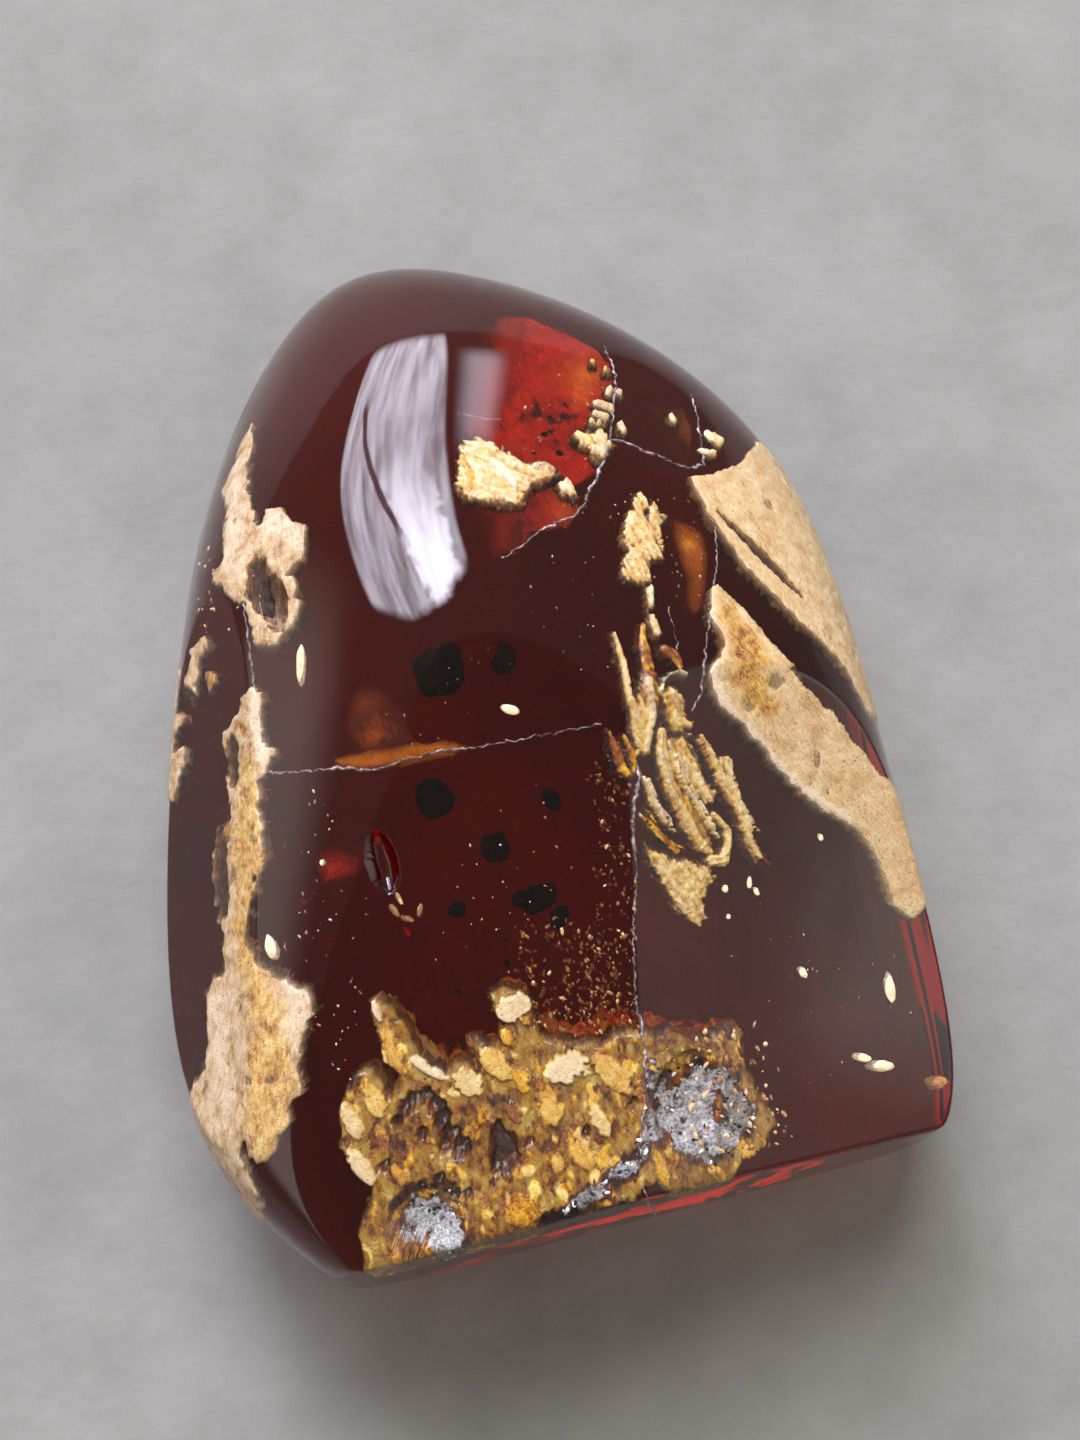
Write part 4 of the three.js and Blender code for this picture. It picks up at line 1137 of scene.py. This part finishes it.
# Dark blots: soft black bits of bark and rot that hang a few millimetres under the front facet, and
# the small black specks nearer the polish. Matte, and fixed in the resin all round.
BLOTS = [
    # x, y, half sizes, lean, depth
    (-2.8, 4.3, 1.9, 1.7, 0.9, 0.3, 3.2), (-1.7, 5.2, 1.0, 0.8, 0.6, 0.3, 2.8),
    (2.3, 3.1, 0.95, 0.8, 0.5, 0.6, 2.2),
    (2.7, 4.0, 0.4, 0.7, 0.3, 0.6, 2.2), (-6.5, -5.1, 1.3, 1.5, 0.8, 0.2, 4.0),
    (-2.7, -10.7, 1.1, 1.1, 0.6, 0.5, 4.2),
    (-0.2, -15.7, 1.5, 1.0, 0.7, 0.3, 3.6), (-1.4, -15.0, 0.8, 0.6, 0.5, 0.2, 2.8),
    (-7.1, -14.8, 0.7, 0.6, 0.4, 0.0, 4.0),
    (1.0, -17.0, 0.9, 0.7, 0.5, 0.9, 2.4), (3.4, -7.9, 0.6, 0.9, 0.4, 0.4, 4.5),
    (-3.4, -18.1, 0.25, 0.25, 0.15, 0.0, 0.4), (-3.0, -16.5, 0.18, 0.18, 0.12, 0.0, 0.4),
    (-7.2, -19.1, 0.16, 0.3, 0.1, 0.1, 0.4), (8.6, 17.6, 0.55, 0.5, 0.25, 0.2, 1.6),
    (9.9, 19.1, 0.5, 0.35, 0.2, 0.8, 1.6),
    (7.9, 19.4, 0.35, 0.3, 0.2, 0.4, 1.6), (10.6, 17.3, 0.4, 0.5, 0.2, 0.1, 1.6),
    (9.2, 16.0, 0.3, 0.4, 0.2, 0.5, 1.6),
    (6.6, 18.6, 0.3, 0.2, 0.2, 0.5, 1.6),
]
blots = start_grains("dark_blots", [(under_polish(x, y, depth), (wide, long, thick), lean, 0.2)
                                    for x, y, wide, long, thick, lean, depth in BLOTS], 0.3)
bpy.ops.object.shade_smooth()
material, place, output = new_material("black rot")
specks = place.noise(900, 3, 0.6)
finish_surface(place, output, {
    "Base Color": specks.ramp((0.35, (0.001, 0.0006, 0.0008)), (0.7, (0.012, 0.004, 0.004))),
    "Roughness": specks * 0.2 + 0.75,
    "Specular IOR Level": 0.05,
    "Normal": specks.bump(0.0003, 0.5),
})
blots.data.materials.append(material)
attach(blots, "root")


# Sun spangles and healed fractures inside the resin: thin wavy sheets, with the light that they catch painted
# into their colour as a red and orange glow. The big one under the chip has a painted orange-red glow; smaller
# ones lie above the ledge and beside the right crust.
VEILS = [
    # name, outline from above, depth in mm, light, gold, the side that fades away and how far, crisp width
    ("chip_glow", [(4.6, 24.8), (7.0, 28.2), (9.7, 30.0), (12.0, 29.0), (13.6, 27.5), (14.8, 26.3),
                   (15.8, 25.2),
                   (16.4, 23.9), (16.1, 21.7), (15.3, 19.6), (14.1, 16.7), (13.0, 15.0), (11.7, 13.9),
                   (10.1, 14.0),
                   (8.8, 15.6), (6.0, 15.6), (5.0, 17.2), (4.4, 20.0)], 0.9, 0.36, 0.0, (-0.86, 0.5),
                   (2.6, 8.0), 0.25),
    ("lower_sheet", [(3.1, 14.4), (6.5, 13.6), (8.4, 14.4), (9.7, 14.4), (10.9, 12.5), (10.7, 11.8),
                     (9.2, 10.7),
                     (7.4, 11.0), (6.5, 10.8), (5.6, 9.8), (4.0, 9.7), (2.6, 9.6), (2.4, 11.9)],
     0.7, 0.2, 0.0, (-1.0, 0.0), (-6.6, -3.0), 0.25),
    ("brown_window", [(16.1, 21.0), (19.0, 19.7), (20.9, 19.0), (21.0, 17.1), (20.0, 14.2),
                      (17.6, 15.5), (15.4, 16.9)],
     1.0, 0.0, 0.6, (-0.9, -0.3), (-25.0, -21.5), 0.3),
    ("ledge_glow", [(-9.3, 3.6), (-8.0, 4.4), (-6.4, 3.6), (-5.6, 1.0), (-5.2, -2.0), (-10.2, -1.4),
                    (-10.4, 1.0)],
     1.0, 0.12, 0.5, (0.3, 0.95), (-2.5, 3.0), 1.6),
    ("ledge_line", [(-12.9, 0.4), (-11.0, -0.9), (-6.3, -1.6), (-2.7, -2.2), (-1.6, -3.1), (-3.1, -3.4),
                    (-7.0, -3.0),
                    (-10.4, -2.2)], 0.3, 0.42, 0.9, (-1.0, 0.0), (9.0, 12.5), 0.5),
    ("crust_glow", [(16.9, 9.9), (18.2, 9.4), (18.9, 8.4), (18.9, 6.7), (18.1, 4.5), (17.1, 2.3), (15.9, 1.7),
                    (15.7, 3.6), (16.4, 5.8), (16.3, 8.0)], 0.6, 0.34, 0.75, (-1.0, 0.0),
                    (-18.0, -15.5), 0.9),
    ("red_spot", [(-15.3, -7.3), (-13.7, -6.7), (-12.1, -7.4), (-10.9, -8.6), (-12.6, -9.8), (-14.9, -9.5)],
     1.4, 0.3, 0.0, (1.0, 0.0), (-14.0, -11.2), 1.5),
]
# Painted glow: bright spots in the sheets, each x, y, size and strength.
PAINTED_GLOW_SPOTS = [(14.2, 23.1, 1.7, 0.7), (13.3, 21.2, 0.9, 0.5), (-8.1, 2.6, 0.6, 0.5), (-8.3, 0.0, 0.7, 0.35),
             (17.4, 7.6, 0.5, 1.0), (-14.2, -8.4, 0.4, 0.3), (9.4, 12.0, 1.3, 0.45), (20.4, 17.0, 1.2, 0.5)]
BURNT_SPECKS = [(9.5, 21.3, 1.2), (11.5, 20.4, 1.5), (12.8, 18.3, 1.0), (10.5, 18.6, 0.8)]


def veil_shape(outline, depth, light, golden, fading, fades, crisp):
    def shape(points, pit, coarse):
        inside = inside_outline(points[:, :2], outline)
        if coarse:
            return inside, None, None
        inside = ragged(points, inside, coarse, 1.0, 0.12)
        cover = step(inside, 0, crisp) * (1 - step(points[:, 0] * fading[0] + points[:, 1] * fading[1], *fades))
        top = -depth + 0.3 * wander(points, 1.8, 81) - 0.5 * step(inside, 0.4, 3.0)
        painted_glow = np.zeros(len(points))
        for x, y, size, glow_strength in PAINTED_GLOW_SPOTS:
            away = (points[:, 0] - x) ** 2 + (points[:, 1] - y) ** 2
            painted_glow = np.maximum(painted_glow, glow_strength * np.exp(-away / size ** 2))
        darkened = np.zeros(len(points))
        for x, y, size in BURNT_SPECKS:
            away = (points[:, 0] - x) ** 2 + (points[:, 1] - y) ** 2
            darkened = np.maximum(darkened, np.exp(-away / size ** 2))
        tone = light + 0.16 * wander(points, 1.6, 83) + 0.1 * wander(points, 0.5, 85) + 0.35 * painted_glow
        tone = tone - 0.9 * darkened * np.clip(wander(points, 0.7, 87) + 0.1, 0, 1)
        return inside, top, {"tone": tone, "gold": np.clip(golden + 0.75 * painted_glow, 0, 1), "cover": cover}
    return shape


def veil_material():
    material, place, output = new_material("healed fracture with painted glow")
    tone = place.node("ShaderNodeAttribute", {"attribute_name": "tone"}, out="Fac")
    gold = place.node("ShaderNodeAttribute", {"attribute_name": "gold"}, out="Fac")
    cover = place.node("ShaderNodeAttribute", {"attribute_name": "cover"}, out="Fac")
    streaks = place.stretched((0.22, 1, 1), (0, 0, 0.3)).noise(1300, 3)
    tone = tone + (streaks - 0.5) * 0.4
    # Painted glow: the sheets' bright reds and golds stand in for light inside the resin.
    red = tone.ramp((0.05, (0.05, 0.002, 0.003)), (0.5, (0.62, 0.022, 0.004)), (0.9, (0.95, 0.12, 0.008)))
    amber_gold = tone.ramp((0.1, (0.14, 0.035, 0.008)), (0.5, (0.62, 0.2, 0.012)), (0.9, (0.95, 0.55, 0.06)))
    finish_surface(place, output, {
        "Base Color": gold.mix(red, amber_gold),
        "Roughness": streaks * 0.3 + 0.4,
        "Specular IOR Level": 0.1,
        "Alpha": cover * (streaks * 0.2 + 0.8),
        "Normal": streaks.bump(0.0003, 0.4),
    })
    return material


healed_glow_material = veil_material()
VEIL_THICKNESS = 0.16
for name, *drawn in VEILS:
    veil = start_inlay(name, veil_shape(*drawn), VEIL_THICKNESS, 0.2, 0.1, 0.6)
    veil.data.materials.append(healed_glow_material)
    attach(veil, "root")


# Pocket crystals: small silvery crystals that line the two open pockets of the foot and the seam
# between them, each grown fast to the golden matrix.
random.seed(23)
crystals = []
for _ in range(330):
    where = random.random()
    outline = SILVER_POOL if where < 0.3 else SILVER_PATCH
    low, high = np.min(outline, 0) - 0.4, np.max(outline, 0) + 0.4
    x, y = random.uniform(low[0], high[0]), random.uniform(low[1], high[1])
    if where > 0.85:
        part = random.random()
        x, y = -4.5 + 6.7 * part + random.gauss(0, 0.3), -35.4 + 2.5 * part + random.gauss(0, 0.35)
    elif inside_outline(np.array([[x, y]]), outline)[0] < random.uniform(-0.6, 0.3):
        continue
    if y < -36.2:
        continue
    spot = on_stone(x, y)
    way = unit(spot - HEART)[None]
    deep, _ = pitted(way, stone_radius(way))
    spot = HEART + way[0] * (deep[0] - 0.02)
    size = random.uniform(0.05, 0.17)
    crystals.append((spot, (size, size * random.uniform(1, 1.8), size * random.uniform(0.7, 1.3)),
                     random.uniform(0, 3), random.choice((0.0, 0.0, 0.1, 0.3, 0.5, 0.9))))
crystals = start_grains("pocket_crystals", crystals, 0.6, tiny=True)
crystals.data.materials.append(grain_material("silvery crystal", (0.01, 0.01, 0.012), (0.22, 0.22, 0.24),
                                              (0.9, 0.9, 0.92)))
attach(crystals, "root")


# Table top, light and camera: a pale mottled table by a curtained window, seen from almost above.
# The room is painted on the sky by height and turn, because the polish mirrors it.
bpy.ops.object.select_all(action="DESELECT")
bpy.ops.mesh.primitive_plane_add(size=3, location=(0, 0, 0))
table = start_piece("table")
material, place, output = new_material("pale grey table")
mottle = place.noise(28, 5) * 0.6 + place.noise(160, 4) * 0.4
finish_surface(place, output, {
    "Base Color": mottle.ramp((0.3, (0.205, 0.21, 0.2)), (0.7, (0.295, 0.3, 0.288))),
    "Roughness": 0.85,
    "Normal": place.noise(600, 4).bump(0.0004, 0.3),
})
table.data.materials.append(material)

ROLL = math.radians(16)
TILT = math.radians(81)
DISTANCE = 215 * MM
picture_up = Vector((math.sin(ROLL), math.cos(ROLL), 0))
picture_right = Vector((math.cos(ROLL), -math.sin(ROLL), 0))
back = -picture_up * math.cos(TILT) + Vector((0, 0, math.sin(TILT)))
camera_up = back.cross(picture_right)
aim = Vector((4.56, -3.8, 14)) * MM + (-1.487 * picture_right + 2.974 * camera_up) * MM

world = bpy.data.worlds.new("room")
bpy.context.scene.world = world
world.use_nodes = True
world.node_tree.nodes.clear()
sky = Wire(world.node_tree).node("ShaderNodeTexCoord", out="Generated")


def toward(way):
    """How much of a direction of the room points one way."""
    return sky.node("ShaderNodeVectorMath", {"operation": "DOT_PRODUCT"}, {0: sky, 1: tuple(way)}, out="Value")


ahead, aside, height = toward(picture_up), toward(picture_right), toward((0, 0, 1))
turn = sky.maths("ARCTAN2", aside, ahead) * (180 / math.pi)
rise = sky.maths("ARCSINE", height) * (180 / math.pi)
overhead = toward(back)
left_frame = -20 - rise * 0.68
pane = (turn - left_frame) * ((-4 - left_frame) ** -1)
hanging = pane.node("ShaderNodeCombineXYZ", None, {"X": pane * 5.5 + rise * 0.012, "Y": rise * 0.035})
folds = hanging.noise(1.4, 4, 0.65)
creases = pane.node("ShaderNodeCombineXYZ", None, {"X": pane * 3, "Y": rise * 0.12}).noise(1.3, 3, 0.6, 0.5)
glare_edge = pane + (creases - 0.5) * 0.3 - (rise - 30) * 0.004
glare = glare_edge.between(0.46, 0.54) * (1 - glare_edge.between(0.84, 0.9)) * rise.between(20, 48)
gap = pane + (creases - 0.5) * 0.05 - rise * 0.0105
dark_streak = gap.between(0.06, 0.085) * (1 - gap.between(0.115, 0.14))
dark_streak = dark_streak * rise.between(10, 14) * (1 - rise.between(38, 46))
inside_frame = pane.between(0.0, 0.05) * (1 - pane.between(0.96, 1.0)) * rise.between(-1, 3)
corner = rise + (pane - 0.52) * (pane - 0.52) * 36 + (creases - 0.5) * 4
inside_frame = inside_frame * (1 - corner.between(54.5, 57))
curtain = folds.between(0.3, 0.66) * 8 + 3.5
window = inside_frame * (curtain + glare * 15) * (1 - dark_streak * 0.9)
side_pane = turn.between(-3.5, 0) * (1 - turn.between(1.5, 5))
side_pane = side_pane * rise.between(4, 10) * (1 - rise.between(22, 32))
window = window + side_pane * 4.6
sunlit = (1 - rise.between(39.3, 42)) * (1 - turn.between(99, 102))
right_wall = turn.between(48, 80) * (1 - turn.between(125, 150))
right_wall = right_wall * rise.between(12, 34) * (1 - rise.between(58, 70))
left_wall = (1 - turn.between(-78, -46)) * turn.between(-150, -120)
left_wall = left_wall * rise.between(10, 22) * (1 - rise.between(35, 46))
person = 1 - overhead.between(math.cos(math.radians(33)), math.cos(math.radians(17)))
strength = (0.1 * person + 0.22) + right_wall * (0.5 + sunlit * 0.9) + left_wall * 1.3 + window
tint = window.between(0, 0.3).mix((1.0, 0.91, 0.84), (0.88, 0.86, 1.0))
background = sky.node("ShaderNodeBackground", None, {"Color": tint, "Strength": strength})
world_output = world.node_tree.nodes.new("ShaderNodeOutputWorld")
world.node_tree.links.new(background.socket, world_output.inputs["Surface"])

bpy.ops.object.light_add(type="AREA", location=aim + picture_up * 0.45 + Vector((0, 0, 0.8)))
key = bpy.context.object
key.name = "soft_key"
key.data.shape = "DISK"
key.data.size = 0.42
key.data.energy = 6.6
key.data.color = (1.0, 0.985, 0.96)
key.rotation_euler = (aim - key.location).to_track_quat("-Z", "Y").to_euler()
key.visible_glossy = False

bpy.ops.object.camera_add(location=aim + back * DISTANCE)
camera = bpy.context.object
camera.name = "camera"
camera.rotation_mode = "QUATERNION"
camera.data.sensor_width = 36
camera.data.lens = 72.3
camera.data.clip_start = 0.01
camera.data.clip_end = 20
camera.rotation_quaternion = Matrix((picture_right, camera_up, back)).transposed().to_quaternion()
bpy.context.scene.camera = camera
bpy.context.scene.view_settings.view_transform = "Standard"
